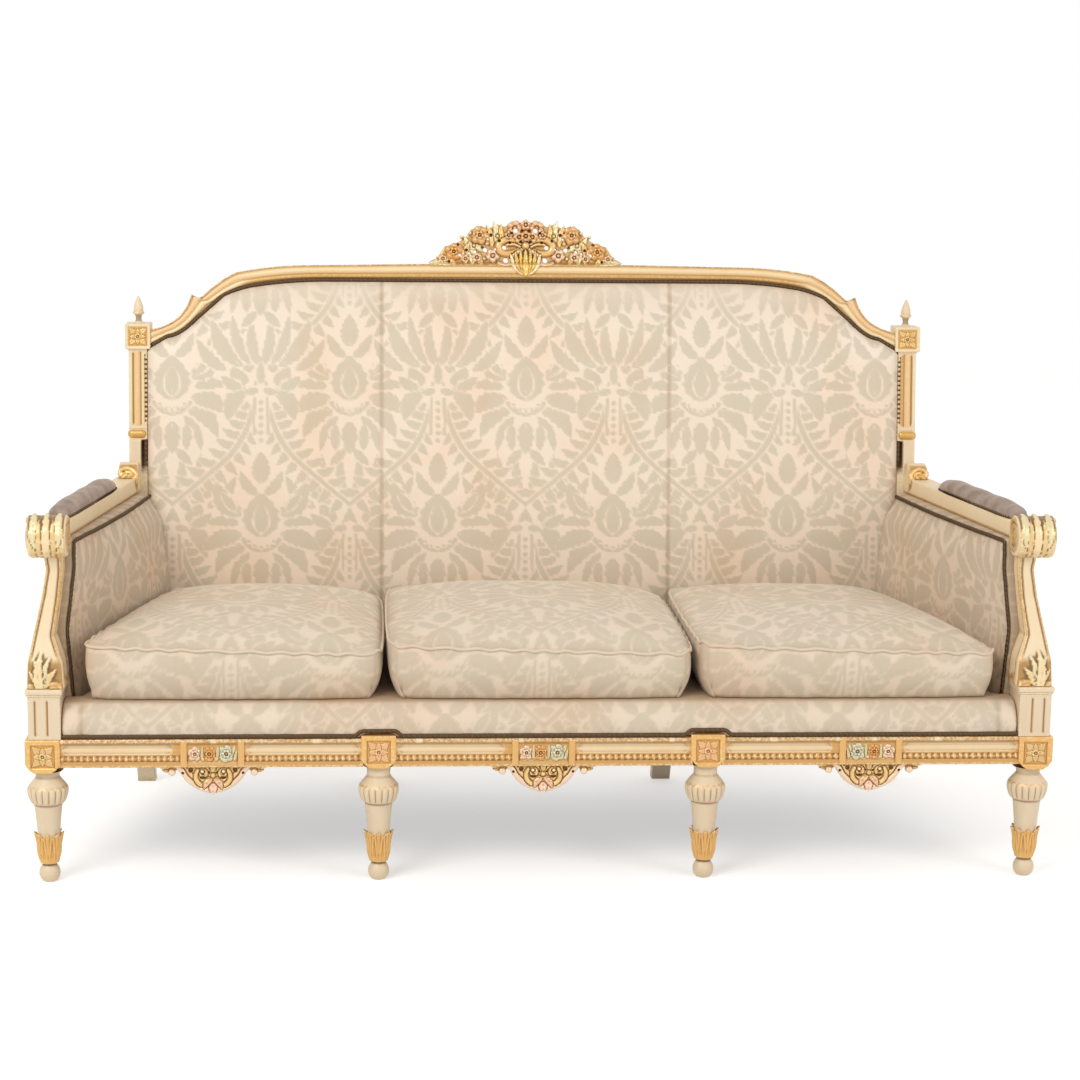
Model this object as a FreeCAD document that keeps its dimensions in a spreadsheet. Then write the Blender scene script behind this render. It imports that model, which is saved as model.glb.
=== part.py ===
import FreeCAD, Part
import Sketcher
import math
import os
from types import SimpleNamespace

# A three-seat upholstered settee with a carved, painted and gilded beech show frame.
# X runs along the settee, the front faces -Y, and Z is up from the floor.
# Set-backs are measured from the plane of the front leg blocks, towards the back.

doc = FreeCAD.newDocument("settee")

# Driving sizes in millimetres, and angles in degrees
DRIVING_SIZES = {
    # where the front plane lies, so that the origin is under the middle of the settee
    "front_plane": -376.0,
    # turned front legs
    "leg_pitch": 626.7,
    "leg_set_back": 33.0,
    "foot_flat_radius": 10.0,
    "foot_radius": 20.3,
    "foot_height": 33.0,
    "foot_neck_radius": 13.0,
    "cup_bottom": 38.0,
    "cup_foot_radius": 18.0,
    "cup_lip_radius": 25.0,
    "cup_top": 92.0,
    "shaft_foot_radius": 23.0,
    "shaft_head_radius": 28.0,
    "collar_bottom": 155.0,
    "collar_foot_radius": 31.0,
    "collar_radius": 36.8,
    "collar_top": 199.0,
    "neck_radius": 26.5,
    "neck_flare": 5.0,
    # square blocks above the legs, fluted corner posts and their caps
    "block_width": 66.0,
    "block_depth": 80.0,
    "outer_block_bottom": 218.0,
    "outer_block_top": 283.6,
    "inner_block_bottom": 225.0,
    "inner_block_top": 290.0,
    "post_width": 61.0,
    "post_set_back": 2.0,
    "post_depth": 75.0,
    "post_top": 369.5,
    "outer_block_shift": 4.6,
    "cap_width": 69.0,
    "cap_height": 11.5,
    "flute_radius": 2.2,
    "flute_spacing": 23.0,
    "flute_shift": 5.5,
    "flute_margin": 9.0,
    "rosette_width": 45.0,
    "rosette_depth": 3.0,
    # seat rails
    "rail_bottom": 228.4,
    "rail_top": 283.6,
    "rail_set_back": 4.0,
    "rail_thickness": 42.0,
    "rail_fillet": 9.0,
    "rail_bead": 13.0,
    "rail_cove_depth": 5.0,
    "rear_rail_thickness": 40.0,
    "side_rail_thickness": 34.0,
    "tenon_length": 24.0,
    "tenon_thickness": 11.0,
    "tenon_shoulder": 9.0,
    "tenon_clearance": 0.2,
    "cross_rail_width": 34.0,
    "cross_rail_bottom": 230.6,
    "cross_rail_top": 281.2,
    "brace_size": 96.0,
    "brace_bottom": 240.0,
    "brace_top": 274.0,
    "webbing_thickness": 2.0,
    "dust_cloth_thickness": 1.0,
    # back frame, which leans
    "back_lean": 6.5,
    "back_set_back": 624.0,
    "back_pivot_height": 390.0,
    "side_taper": 119.0,
    "stile_width": 39.0,
    "stile_depth": 45.0,
    "stile_block_width": 53.0,
    "stile_block_proud": 5.0,
    "block_tile_width": 41.0,
    "stile_block_bottom": 954.0,
    "stile_block_top": 1007.0,
    "stile_ring_bottom": 764.0,
    "stile_ring_top": 786.0,
    "stile_ring_proud": 3.0,
    "rear_block_bottom": 222.0,
    "rear_foot_rake": 110.0,
    "rear_foot_depth": 34.0,
    "inner_rear_leg_width": 40.0,
    "inner_rear_foot_width": 32.0,
    "finial_height": 57.0,
    "finial_radius": 12.5,
    "finial_waist_radius": 6.0,
    "finial_dowel_radius": 5.0,
    "dowel_length": 18.0,
    "dowel_clearance": 0.15,
    # crest rail and its carving
    "crest_height": 1135.5,
    "crest_width": 38.8,
    "crest_depth": 39.0,
    "crest_ear_reach": 86.0,
    "crest_ear_drop": 66.0,
    "crest_shoulder_reach": 180.0,
    "crest_shoulder_drop": 20.0,
    "crest_flat_reach": 325.0,
    "crest_flat_drop": 4.0,
    "opening_clearance": 1.0,
    "carving_half_width": 207.0,
    "carving_height": 92.0,
    "carving_depth": 32.0,
    "carving_set_back": 2.0,
    "carving_lobes": 13,
    # inside of the back
    "seam_place": 306.0,
    "upright_width": 42.0,
    "upright_front": 16.0,
    "upright_back": 36.0,
    "back_lower_rail_height": 50.0,
    "back_lower_rail_top": 392.0,
    "back_pad_crown": 24.0,
    "back_pad_edge_crown": 13.0,
    "seam_depth": 4.0,
    "cover_thickness": 2.5,
    "cover_rise": 8.0,
    # arms
    "support_base_width": 70.0,
    "support_base_place": 3.0,
    "support_waist_width": 40.0,
    "support_waist_place": 1.0,
    "support_waist_height": 477.0,
    "support_neck_width": 32.0,
    "support_neck_place": 20.0,
    "support_neck_drop": 27.0,
    "support_hollow": 32.0,
    "support_round": 9.0,
    "arm_scroll_radius": 39.5,
    "arm_scroll_width": 72.0,
    "arm_scroll_height": 667.5,
    "arm_scroll_place": 11.0,
    "arm_scroll_set_back": 39.0,
    "arm_rear_place": 17.0,
    "arm_rear_set_back": 664.0,
    "arm_rest_drop": 12.5,
    "arm_rest_width": 46.0,
    "arm_rest_thickness": 34.0,
    "arm_leaf_radius": 32.0,
    "arm_leaf_width": 40.0,
    "arm_leaf_rise": 20.5,
    "arm_leaf_set_back": 640.0,
    "arm_pad_width": 46.0,
    "arm_pad_start": 62.0,
    "arm_pad_length": 380.0,
    "arm_pad_height": 27.0,
    "arm_inner_front_place": 47.0,
    "arm_inner_bulge": 14.0,
    "arm_inner_swell": 10.0,
    "arm_inner_rear_place": 67.0,
    "arm_inner_top_place": 18.0,
    "arm_cover_thickness": 5.0,
    # seat deck and loose cushions
    "deck_top": 352.0,
    "deck_front_set_back": 8.0,
    "deck_roll": 40.0,
    "cushion_front_set_back": 20.0,
    "cushion_depth": 575.0,
    "cushion_gap": 2.0,
    "cushion_joint_left_inset": 12.0,
    "cushion_joint_right_inset": 20.0,
    "cushion_arm_gap": 10.0,
    "cushion_height": 100.0,
    "cushion_crown": 42.0,
    "centre_cushion_rise": 10.0,
    "cushion_draw": 9.0,
    # applied carving and nail trim
    "plaque_width": 122.0,
    "plaque_height": 51.0,
    "plaque_depth": 9.0,
    "plaque_proud": 2.0,
    "drop_width": 205.0,
    "drop_height": 58.0,
    "drop_thickness": 18.0,
    "drop_set_back": 8.0,
    "drop_lobes": 9,
    "drop_dowel_radius": 3.0,
    "nail_width": 7.0,
    "nail_thickness": 3.0,
    "back_nail_start": 724.0,
    "soft_clearance": 0.3,
}

sheet = doc.addObject("Spreadsheet::Sheet", "Sizes")
for row, (alias, value) in enumerate(DRIVING_SIZES.items(), start=1):
    sheet.set(f"A{row}", alias.replace("_", " "))
    sheet.set(f"B{row}", str(value))
    sheet.setAlias(f"B{row}", alias)
doc.recompute()


class Size:
    """A length that knows its value and the sheet formula that gives it."""

    def __init__(self, value, formula):
        self.value = float(value)
        self.formula = formula

    def __add__(self, other):
        other = as_size(other)
        return Size(self.value + other.value, f"({self.formula} + {other.formula})")

    def __sub__(self, other):
        other = as_size(other)
        return Size(self.value - other.value, f"({self.formula} - {other.formula})")

    def __mul__(self, other):
        other = as_size(other)
        return Size(self.value * other.value, f"({self.formula} * {other.formula})")

    def __truediv__(self, other):
        other = as_size(other)
        return Size(self.value / other.value, f"({self.formula} / {other.formula})")

    def __radd__(self, other):
        return as_size(other) + self

    def __rsub__(self, other):
        return as_size(other) - self

    def __rmul__(self, other):
        return as_size(other) * self

    def __neg__(self):
        return Size(-self.value, f"(0 - {self.formula})")

    def __float__(self):
        return self.value


def as_size(number):
    return number if isinstance(number, Size) else Size(number, repr(float(number)))


def cosine(angle):
    return Size(math.cos(math.radians(angle.value)), f"cos({angle.formula})")


def tangent(angle):
    return Size(math.tan(math.radians(angle.value)), f"tan({angle.formula})")


def angle_of(rise, run):
    """The angle, in degrees, whose slope is rise over run."""
    ratio = rise / run
    return Size(math.degrees(math.atan(ratio.value)), f"atan({ratio.formula})")


size = SimpleNamespace(**{name: Size(value, f"Sizes.{name}") for name, value in DRIVING_SIZES.items()})


def bind(item, **values):
    """Tie properties to the sheet: x, y and z stand for the placement."""
    places = {"x": "Placement.Base.x", "y": "Placement.Base.y", "z": "Placement.Base.z",
              "turn": "Placement.Rotation.Angle"}
    for name, value in values.items():
        item.setExpression(places.get(name, name), as_size(value).formula)


def box(name, x, y, z, width, depth, height):
    """A rectangular block whose low corner is at x, y, z."""
    item = doc.addObject("Part::Box", name)
    bind(item, Length=width, Width=depth, Height=height, x=x, y=y, z=z)
    return item


def rod(name, x, y, z, radius, length, direction):
    """A round rod that starts at x, y, z and runs along direction."""
    item = doc.addObject("Part::Cylinder", name)
    turn = FreeCAD.Rotation(FreeCAD.Vector(0, 0, 1), FreeCAD.Vector(*direction))
    item.Placement = FreeCAD.Placement(FreeCAD.Vector(), turn)
    bind(item, Radius=radius, Height=length, x=x, y=y, z=z)
    return item


def fuse(name, items):
    item = doc.addObject("Part::MultiFuse", name)
    item.Shapes = items
    item.Refine = True
    return item


def cut(name, base, tools):
    item = doc.addObject("Part::Cut", name)
    item.Base = base
    item.Tool = tools[0] if len(tools) == 1 else fuse(name + "_waste", tools)
    item.Refine = True
    return item


def common(name, first, second):
    item = doc.addObject("Part::Common", name)
    item.Base = first
    item.Tool = second
    return item


def group(name, items):
    item = doc.addObject("Part::Compound", name)
    item.Links = items
    return item


def mirrored(name, source):
    """The left-hand twin of a right-hand piece."""
    item = doc.addObject("Part::Mirroring", name)
    item.Source = source
    item.Base = (0, 0, 0)
    item.Normal = (1, 0, 0)
    return item


def both_sides(stem, right):
    """Keep a right-hand piece and its left-hand twin as two sub-parts."""
    keep(stem + "_right", right)
    keep(stem + "_left", mirrored(stem + "_left", right))


def draw(sketch, corners):
    """Close an outline and tie it to the sheet.

    Each corner is (across, up), reached by a straight line, or
    (through across, through up, across, up), reached by an arc."""
    count = len(corners)
    ends = [corner[-2:] for corner in corners]
    first_point = []
    for index, corner in enumerate(corners):
        start = FreeCAD.Vector(float(ends[index - 1][0]), float(ends[index - 1][1]), 0)
        finish = FreeCAD.Vector(float(ends[index][0]), float(ends[index][1]), 0)
        turns_left = True
        if len(corner) == 4:
            through = FreeCAD.Vector(float(corner[0]), float(corner[1]), 0)
            turns_left = (through - start).cross(finish - through).z > 0
            ends_in_order = (start, through, finish) if turns_left else (finish, through, start)
            sketch.addGeometry(Part.Arc(*ends_in_order), False)
        else:
            sketch.addGeometry(Part.LineSegment(start, finish), False)
        first_point.append(1 if turns_left else 2)
    for index in range(count):
        following = (index + 1) % count
        last = 3 - first_point[index]
        sketch.addConstraint(
            Sketcher.Constraint("Coincident", index, last, following, first_point[following]))
        tie(sketch, index, last, ends[index])
    for index, corner in enumerate(corners):
        if len(corner) == 4:
            sketch.addGeometry(Part.Point(FreeCAD.Vector(float(corner[0]), float(corner[1]), 0)), True)
            point = sketch.GeometryCount - 1
            sketch.addConstraint(Sketcher.Constraint("PointOnObject", point, 1, index))
            tie(sketch, point, 1, corner[:2])


def tie(sketch, geometry, point, place):
    """Hold one point of a sketch at a place given by sheet sizes."""
    for kind, axis, value in (("DistanceX", -2, place[0]), ("DistanceY", -1, place[1])):
        if not isinstance(value, Size):
            if value == 0:
                sketch.addConstraint(Sketcher.Constraint("PointOnObject", geometry, point, axis))
                continue
            value = as_size(value)
        number = sketch.addConstraint(
            Sketcher.Constraint(kind, -1, 1, geometry, point, value.value))
        sketch.setExpression(f"Constraints[{number}]", value.formula)


def sketched_body(name, role, corners):
    """A body with one closed sketch on the origin plane that has this role."""
    body = doc.addObject("PartDesign::Body", name)
    sketch = body.newObject("Sketcher::SketchObject", name + "_outline")
    plane = [item for item in body.Origin.OriginFeatures if item.Role == role][0]
    sketch.AttachmentSupport = [(plane, "")]
    sketch.MapMode = "FlatFace"
    draw(sketch, corners)
    return body, sketch


def turned(name, corners):
    """A piece turned on the lathe about the vertical axis."""
    body, sketch = sketched_body(name, "XZ_Plane", corners)
    turning = body.newObject("PartDesign::Revolution", name + "_turning")
    turning.Profile = sketch
    turning.ReferenceAxis = (sketch, ["V_Axis"])
    turning.Angle = 360
    return body


def front_sawn(name, corners, thickness):
    """A board sawn to an outline seen from the front; it runs back from y = 0."""
    body, sketch = sketched_body(name, "XZ_Plane", corners)
    pad = body.newObject("PartDesign::Pad", name + "_board")
    pad.Profile = sketch
    pad.Reversed = True
    bind(pad, Length=thickness)
    return body


def side_sawn(name, corners, thickness):
    """A board sawn to an outline seen from the side; it runs right from x = 0."""
    body, sketch = sketched_body(name, "YZ_Plane", corners)
    pad = body.newObject("PartDesign::Pad", name + "_board")
    pad.Profile = sketch
    bind(pad, Length=thickness)
    return body


def plan_sawn(name, corners, thickness):
    """A board sawn to an outline seen from above; it runs up from z = 0."""
    body, sketch = sketched_body(name, "XY_Plane", corners)
    pad = body.newObject("PartDesign::Pad", name + "_board")
    pad.Profile = sketch
    bind(pad, Length=thickness)
    return body


def shaped(name, shape):
    """A piece whose surface is worked out in code from the sheet's sizes."""
    item = doc.addObject("Part::Feature", name)
    item.Shape = shape
    return item


sub_parts = {}


def keep(label, item):
    """Name a finished sub-part, which goes to its own file."""
    item.Label = label
    sub_parts[label] = item


# Places that several pieces share
leg_outer_x = size.leg_pitch * 1.5
leg_inner_x = size.leg_pitch * 0.5
block_outer_x = leg_outer_x + size.outer_block_shift
half_block = size.block_width / 2
stile_x = leg_outer_x - size.side_taper
stile_inner_x = stile_x - size.stile_width / 2
front = size.front_plane
rail_height = size.rail_top - size.rail_bottom
lean_slope = tangent(size.back_lean)
rear_rail_set_back = size.back_set_back - (size.back_pivot_height - size.rail_top) * lean_slope
rear_rail_back = rear_rail_set_back + size.rear_rail_thickness
post_back = size.post_set_back + size.post_depth
cap_top = size.post_top + size.cap_height
arm_rest_bottom = size.arm_scroll_height - size.arm_rest_drop


def leaning_line(height):
    """Set-back of the back frame's front face at a height."""
    return size.back_set_back + (height - size.back_pivot_height) * lean_slope


def up_the_back(height):
    """Distance along the leaning back, from its pivot line to a height."""
    return (height - size.back_pivot_height) / cosine(size.back_lean)


def lean(item):
    """Stand a piece that was made upright against the leaning back plane."""
    if item.TypeId == "Part::Box":
        item = group(item.Name + "_leaning", [item])
    item.Placement = FreeCAD.Placement(FreeCAD.Vector(), FreeCAD.Rotation(FreeCAD.Vector(-1, 0, 0), 5))
    bind(item, y=front + size.back_set_back, z=size.back_pivot_height, turn=size.back_lean)
    return item


# Front rails: three moulded lengths, tenoned into the leg blocks.
# The front face has a fillet, a bead, a hollow band and a top fillet.
def rail_section():
    face = size.rail_set_back
    hollow = face + size.rail_cove_depth
    bead_top = size.rail_fillet + size.rail_bead
    cove_top = rail_height - size.rail_fillet
    return [
        (face, 0),
        (face + size.rail_thickness, 0),
        (face + size.rail_thickness, rail_height),
        (face, rail_height),
        (face, cove_top),
        (hollow, (bead_top + cove_top) / 2, face, bead_top),
        (face, size.rail_fillet),
    ]


def tongue(name, start, length, grow):
    """The through tongue of a front rail, whose ends are its tenons."""
    centre = front + size.rail_set_back + size.rail_thickness / 2
    return box(name, start - size.tenon_length - grow, centre - size.tenon_thickness / 2 - grow,
               size.rail_bottom + size.tenon_shoulder - grow, length + (size.tenon_length + grow) * 2,
               size.tenon_thickness + grow * 2, rail_height - size.tenon_shoulder * 2 + grow * 2)


centre_length = size.leg_pitch - size.block_width
side_length = centre_length + size.outer_block_shift
rail_spans = {
    "right": (leg_inner_x + half_block, side_length, size.leg_pitch),
    "centre": (-leg_inner_x + half_block, centre_length, size.leg_pitch * 0),
    "left": (-block_outer_x + half_block, side_length, -size.leg_pitch),
}


def drop_dowels(name, middle, grow):
    """The two dowels that hold a drop under its rail."""
    return [rod(f"{name}_{index}", middle + size.drop_width * share,
                front + size.drop_set_back + size.drop_thickness / 2, size.rail_bottom - 1,
                size.drop_dowel_radius + grow, size.dowel_length + 1 + grow, (0, 0, 1))
            for index, share in enumerate((-0.2, 0.2))]


plaques = []
rail_mortises = []
for side, (start, length, middle) in rail_spans.items():
    moulding = side_sawn(f"rail_moulding_{side}", rail_section(), length)
    bind(moulding, x=start, y=front, z=size.rail_bottom)
    plaque = box(f"plaque_{side}", middle - size.plaque_width / 2, front + size.plaque_proud,
                 (size.rail_bottom + size.rail_top - size.plaque_height) / 2,
                 size.plaque_width, size.plaque_depth, size.plaque_height)
    plaques.append(plaque)
    with_tenons = fuse(f"rail_tenoned_{side}", [moulding, tongue(f"rail_tongue_{side}", start, length, 0)])
    holes = drop_dowels(f"drop_hole_{side}", middle, size.dowel_clearance)
    keep(f"front_rail_{side}", cut(f"front_rail_{side}", with_tenons, [plaque] + holes))
    rail_mortises.append(tongue(f"rail_mortise_{side}", start, length, size.tenon_clearance))

keep("rail_plaques", group("rail_plaques", plaques))

# Drops: openwork carving that hangs under each plaque, doweled into the rail.
# The scalloped edge follows an arch that is deepest in the middle.
def scalloped(half_width, height, lobes, sharpness):
    """Corners of a scalloped arch over a straight base, from right to left."""
    edge = []
    for step in range(lobes + 1):
        across = math.cos(math.pi * step / lobes)
        edge.append((across, 1 - abs(across) ** sharpness))
    bulge = 0.28
    corners = []
    for step in range(1, lobes + 1):
        before, after = edge[step - 1], edge[step]
        run, climb = after[0] - before[0], after[1] - before[1]
        through = ((before[0] + after[0]) / 2 + climb * bulge * 0.4,
                   (before[1] + after[1]) / 2 - run * bulge)
        corners.append((half_width * through[0], height * (0.1 + 0.86 * through[1]),
                        half_width * after[0], height * (0.1 + 0.86 * after[1])))
    return corners


def arch_outline(half_width, height, lobes, sharpness):
    return [(half_width, 0), (half_width, height * 0.1)] + \
        scalloped(half_width, height, lobes, sharpness) + [(-half_width, 0)]


drop_half = size.drop_width / 2
for side, (start, length, middle) in rail_spans.items():
    lobes = int(size.drop_lobes.value)
    outline = [[-value if index % 2 and isinstance(value, Size) else value
                for index, value in enumerate(corner)]
               for corner in arch_outline(drop_half, size.drop_height, lobes, 1.3)]
    drop = front_sawn(f"drop_board_{side}", outline, size.drop_thickness)
    bind(drop, x=middle, y=front + size.drop_set_back, z=size.rail_bottom)
    drop_parts = [drop] + drop_dowels(f"drop_dowel_{side}", middle, 0)
    keep(f"apron_drop_{side}", fuse(f"apron_drop_{side}", drop_parts))


# Front legs: turned shafts with a ball foot, a gilt cup and a reeded collar, under square blocks
def leg_profile(top):
    return [
        (0, 0),
        (size.foot_flat_radius, 0),
        (size.foot_radius, size.foot_height * 0.52, size.foot_neck_radius, size.foot_height),
        (size.foot_neck_radius, size.cup_bottom),
        (size.cup_foot_radius, size.cup_bottom),
        ((size.cup_foot_radius + size.cup_lip_radius) / 2 + 1.5, (size.cup_bottom + size.cup_top) / 2,
         size.cup_lip_radius, size.cup_top),
        (size.shaft_foot_radius, size.cup_top),
        (size.shaft_head_radius, size.collar_bottom),
        (size.collar_foot_radius, size.collar_bottom),
        (size.collar_radius, (size.collar_bottom + size.collar_top) / 2, size.neck_radius, size.collar_top),
        (size.neck_radius, top - size.neck_flare * 1.6),
        (size.neck_radius + size.neck_flare, top),
        (0, top),
    ]


def front_block(name, x, bottom, top):
    return box(name, x - half_block, front, bottom, size.block_width, size.block_depth, top - bottom)


def rosette(name, x, y, middle_height):
    """A carved square tile let into the front of a block."""
    return box(name, x - size.rosette_width / 2, y, middle_height - size.rosette_width / 2,
               size.rosette_width, size.rosette_depth, size.rosette_width)


def support_tenon(name, grow):
    """The tenon under an arm support, which stands in the corner post."""
    half = size.tenon_thickness
    return box(name, leg_outer_x - size.support_base_place - half - grow,
               front + post_back / 2 - half - grow, cap_top - size.tenon_length - grow,
               (half + grow) * 2, (half + grow) * 2, size.tenon_length * 2 + grow)


side_run = size.back_set_back - size.leg_set_back
side_angle = angle_of(size.side_taper, side_run)
side_rail_length = side_run / cosine(side_angle)


def along_the_side(name, width, bottom, height, reach):
    """A bar along the slanting side, from the front leg to the rear post."""
    item = doc.addObject("Part::Box", name)
    item.Placement = FreeCAD.Placement(FreeCAD.Vector(), FreeCAD.Rotation(FreeCAD.Vector(0, 0, 1), 5))
    sideways = width / 2 * cosine(side_angle)
    bind(item, Length=width, Width=side_rail_length + reach, Height=height, turn=side_angle,
         x=leg_outer_x - sideways, y=front + size.leg_set_back - sideways * tangent(side_angle), z=bottom)
    return item


def side_tongue(name, grow):
    """The tongue of a side rail: it stops inside the leg and inside the post."""
    inside = size.side_rail_thickness / 2
    bar = along_the_side(name + "_bar", size.tenon_thickness + grow * 2,
                         size.rail_bottom + size.tenon_shoulder - grow,
                         rail_height - size.tenon_shoulder * 2 + grow * 2, 0)
    stop = box(name + "_stop", 0, front + size.block_depth - size.tenon_length - grow, 0,
               leg_outer_x + inside, rear_rail_set_back - size.block_depth + size.tenon_length * 2 + grow * 2,
               size.rail_top)
    return common(name, bar, stop)


side_mortise = side_tongue("side_mortise", size.tenon_clearance)
rosettes = []
for place, x, outward in (("right", leg_outer_x, 1), ("left", -leg_outer_x, -1)):
    block_x = block_outer_x * outward
    turning = turned(f"outer_turning_{place}", leg_profile(size.outer_block_bottom))
    bind(turning, x=x, y=front + size.leg_set_back)
    block = front_block(f"outer_block_{place}", block_x, size.outer_block_bottom, size.outer_block_top)
    post = box(f"corner_post_{place}", x - size.post_width / 2, front + size.post_set_back,
               size.outer_block_top, size.post_width, size.post_depth, size.post_top - size.outer_block_top)
    overhang = (size.cap_width - size.post_width) / 2
    cap = box(f"post_cap_{place}", x - size.cap_width / 2, front + size.post_set_back - overhang,
              size.post_top, size.cap_width, size.post_depth + overhang, size.cap_height)
    flutes = [rod(f"flute_{place}_{index}", x + (size.flute_spacing * share + size.flute_shift) * outward,
                  front + size.post_set_back, size.outer_block_top + size.flute_margin, size.flute_radius,
                  size.post_top - size.outer_block_top - size.flute_margin * 2, (0, 0, 1))
              for index, share in enumerate((-0.5, 0.5))]
    tile = rosette(f"outer_rosette_{place}", block_x, front,
                   (size.outer_block_bottom + size.outer_block_top) / 2)
    rosettes.append(tile)
    housing = side_mortise if place == "right" else mirrored("side_mortise_left", side_mortise)
    socket = support_tenon("support_socket_right", size.tenon_clearance)
    if place == "left":
        socket = mirrored("support_socket_left", socket)
    rail_mortise = rail_mortises[0] if place == "right" else rail_mortises[2]
    leg = fuse(f"outer_leg_{place}", [turning, block, post, cap])
    keep(f"front_leg_outer_{place}",
         cut(f"front_leg_outer_{place}", leg, flutes + [tile, rail_mortise, housing, socket]))


def cross_rail_tongue(name, x, grow):
    """The tongue of a cross rail: it reaches into the front block and the rear rail."""
    start = size.block_depth - size.tenon_length
    finish = rear_rail_set_back + size.tenon_length / 2
    return box(name, x - size.tenon_thickness / 2 - grow, front + start - grow,
               size.cross_rail_bottom + size.tenon_shoulder - grow, size.tenon_thickness + grow * 2,
               finish - start + grow * 2,
               size.cross_rail_top - size.cross_rail_bottom - size.tenon_shoulder * 2 + grow * 2)


def rear_leg_tenon(name, x, grow):
    """The stub tenon on top of an inner rear leg, behind the cross rail's tenon."""
    start = rear_rail_set_back + size.tenon_length / 2 + size.tenon_shoulder / 2
    return box(name, x - size.tenon_thickness - grow, front + start - grow,
               size.rail_bottom - size.tenon_length, (size.tenon_thickness + grow) * 2,
               size.tenon_thickness + grow * 2, size.tenon_length * 2 + grow)


cross_mortises = []
rear_leg_mortises = []
for place, x in (("right", leg_inner_x), ("left", -leg_inner_x)):
    turning = turned(f"inner_turning_{place}", leg_profile(size.inner_block_bottom))
    bind(turning, x=x, y=front + size.leg_set_back)
    block = front_block(f"inner_block_{place}", x, size.inner_block_bottom, size.inner_block_top)
    tile = rosette(f"inner_rosette_{place}", x, front, (size.inner_block_bottom + size.inner_block_top) / 2)
    rosettes.append(tile)
    mortise = cross_rail_tongue(f"cross_mortise_{place}", x, size.tenon_clearance)
    cross_mortises.append(mortise)
    leg = fuse(f"inner_leg_{place}", [turning, block])
    outer_rail_mortise = rail_mortises[0] if place == "right" else rail_mortises[2]
    keep(f"front_leg_inner_{place}",
         cut(f"front_leg_inner_{place}", leg, [tile, mortise, rail_mortises[1], outer_rail_mortise]))

    # Cross rails tie the inner front legs to the rear rail and carry the webbing
    bar = box(f"cross_bar_{place}", x - size.cross_rail_width / 2, front + size.block_depth,
              size.cross_rail_bottom, size.cross_rail_width, rear_rail_set_back - size.block_depth,
              size.cross_rail_top - size.cross_rail_bottom)
    tongue_in = cross_rail_tongue(f"cross_tongue_{place}", x, 0)
    keep(f"cross_rail_{place}", fuse(f"cross_rail_{place}", [bar, tongue_in]))

    # Inner rear legs: square, raked back, with a stub tenon into the rear rail
    head = size.inner_rear_leg_width
    toe = rear_rail_set_back + size.rear_foot_rake
    raked = side_sawn(f"raked_leg_{place}", [
        (toe, 0),
        (toe + size.inner_rear_foot_width, 0),
        (rear_rail_set_back + head, size.rail_bottom),
        (rear_rail_set_back, size.rail_bottom),
    ], head)
    bind(raked, x=x - head / 2, y=front)
    stub = rear_leg_tenon(f"rear_leg_stub_{place}", x, 0)
    keep(f"rear_leg_inner_{place}", fuse(f"rear_leg_inner_{place}", [raked, stub]))
    rear_leg_mortises.append(rear_leg_tenon(f"rear_leg_mortise_{place}", x, size.tenon_clearance))

keep("die_rosettes", group("die_rosettes", rosettes))


# Rear rail: one length between the rear posts
def rear_rail_tongue(name, grow):
    reach = size.tenon_length + grow
    return box(name, -stile_inner_x - reach,
               front + rear_rail_set_back + size.rear_rail_thickness * 0.55 - grow,
               size.rail_bottom + size.tenon_shoulder - grow, (stile_inner_x + reach) * 2,
               size.tenon_thickness + grow * 2, rail_height - size.tenon_shoulder * 2 + grow * 2)


rear_bar = box("rear_bar", -stile_inner_x, front + rear_rail_set_back, size.rail_bottom,
               stile_inner_x * 2, size.rear_rail_thickness, rail_height)
rear_tenoned = fuse("rear_tenoned", [rear_bar, rear_rail_tongue("rear_tongue", 0)])
keep("rear_rail", cut("rear_rail", rear_tenoned, cross_mortises + rear_leg_mortises))


# Rear posts: leg and stile sawn from one board, with a square block and a ring moulding.
# The leg rakes back below the seat, and the stile leans back above it.
def leaning_block(name, bottom, top, left, width, proud):
    block = side_sawn(name, [
        (leaning_line(bottom) - proud, bottom),
        (leaning_line(bottom) + size.stile_depth + proud, bottom),
        (leaning_line(top) + size.stile_depth + proud, top),
        (leaning_line(top) - proud, top),
    ], width)
    bind(block, x=left, y=front)
    return block


rear_toe = rear_rail_set_back + size.rear_foot_rake
knee = size.rear_block_bottom
post_board = side_sawn("post_board", [
    (rear_toe, 0),
    (rear_toe + size.rear_foot_depth, 0),
    (rear_rail_set_back + size.stile_depth, knee),
    (rear_rail_set_back + size.stile_depth, size.rail_top),
    (leaning_line(size.stile_block_top) + size.stile_depth, size.stile_block_top),
    (leaning_line(size.stile_block_top), size.stile_block_top),
    (rear_rail_set_back, size.rail_top),
    (rear_rail_set_back, knee),
], size.stile_width)
bind(post_board, x=stile_inner_x, y=front)
top_block = leaning_block("top_block", size.stile_block_bottom, size.stile_block_top,
                          stile_x - size.stile_block_width / 2, size.stile_block_width,
                          size.stile_block_proud)
ring = leaning_block("stile_ring", size.stile_ring_bottom, size.stile_ring_top,
                     stile_inner_x, size.stile_width + size.stile_ring_proud, size.stile_ring_proud)
finial_set_back = leaning_line(size.stile_block_top) + size.stile_depth / 2


def crest_tenon(name, grow):
    """The tenon at the right-hand end of the crest rail."""
    face = stile_x - size.stile_block_width / 2
    root = size.tenon_shoulder / 2
    return box(name, face - root, size.crest_depth / 2 - size.tenon_thickness / 2 - grow,
               up_the_back(size.stile_block_bottom) + size.tenon_shoulder - grow,
               size.tenon_length + root + grow, size.tenon_thickness + grow * 2,
               size.tenon_length + grow * 2)


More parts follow.
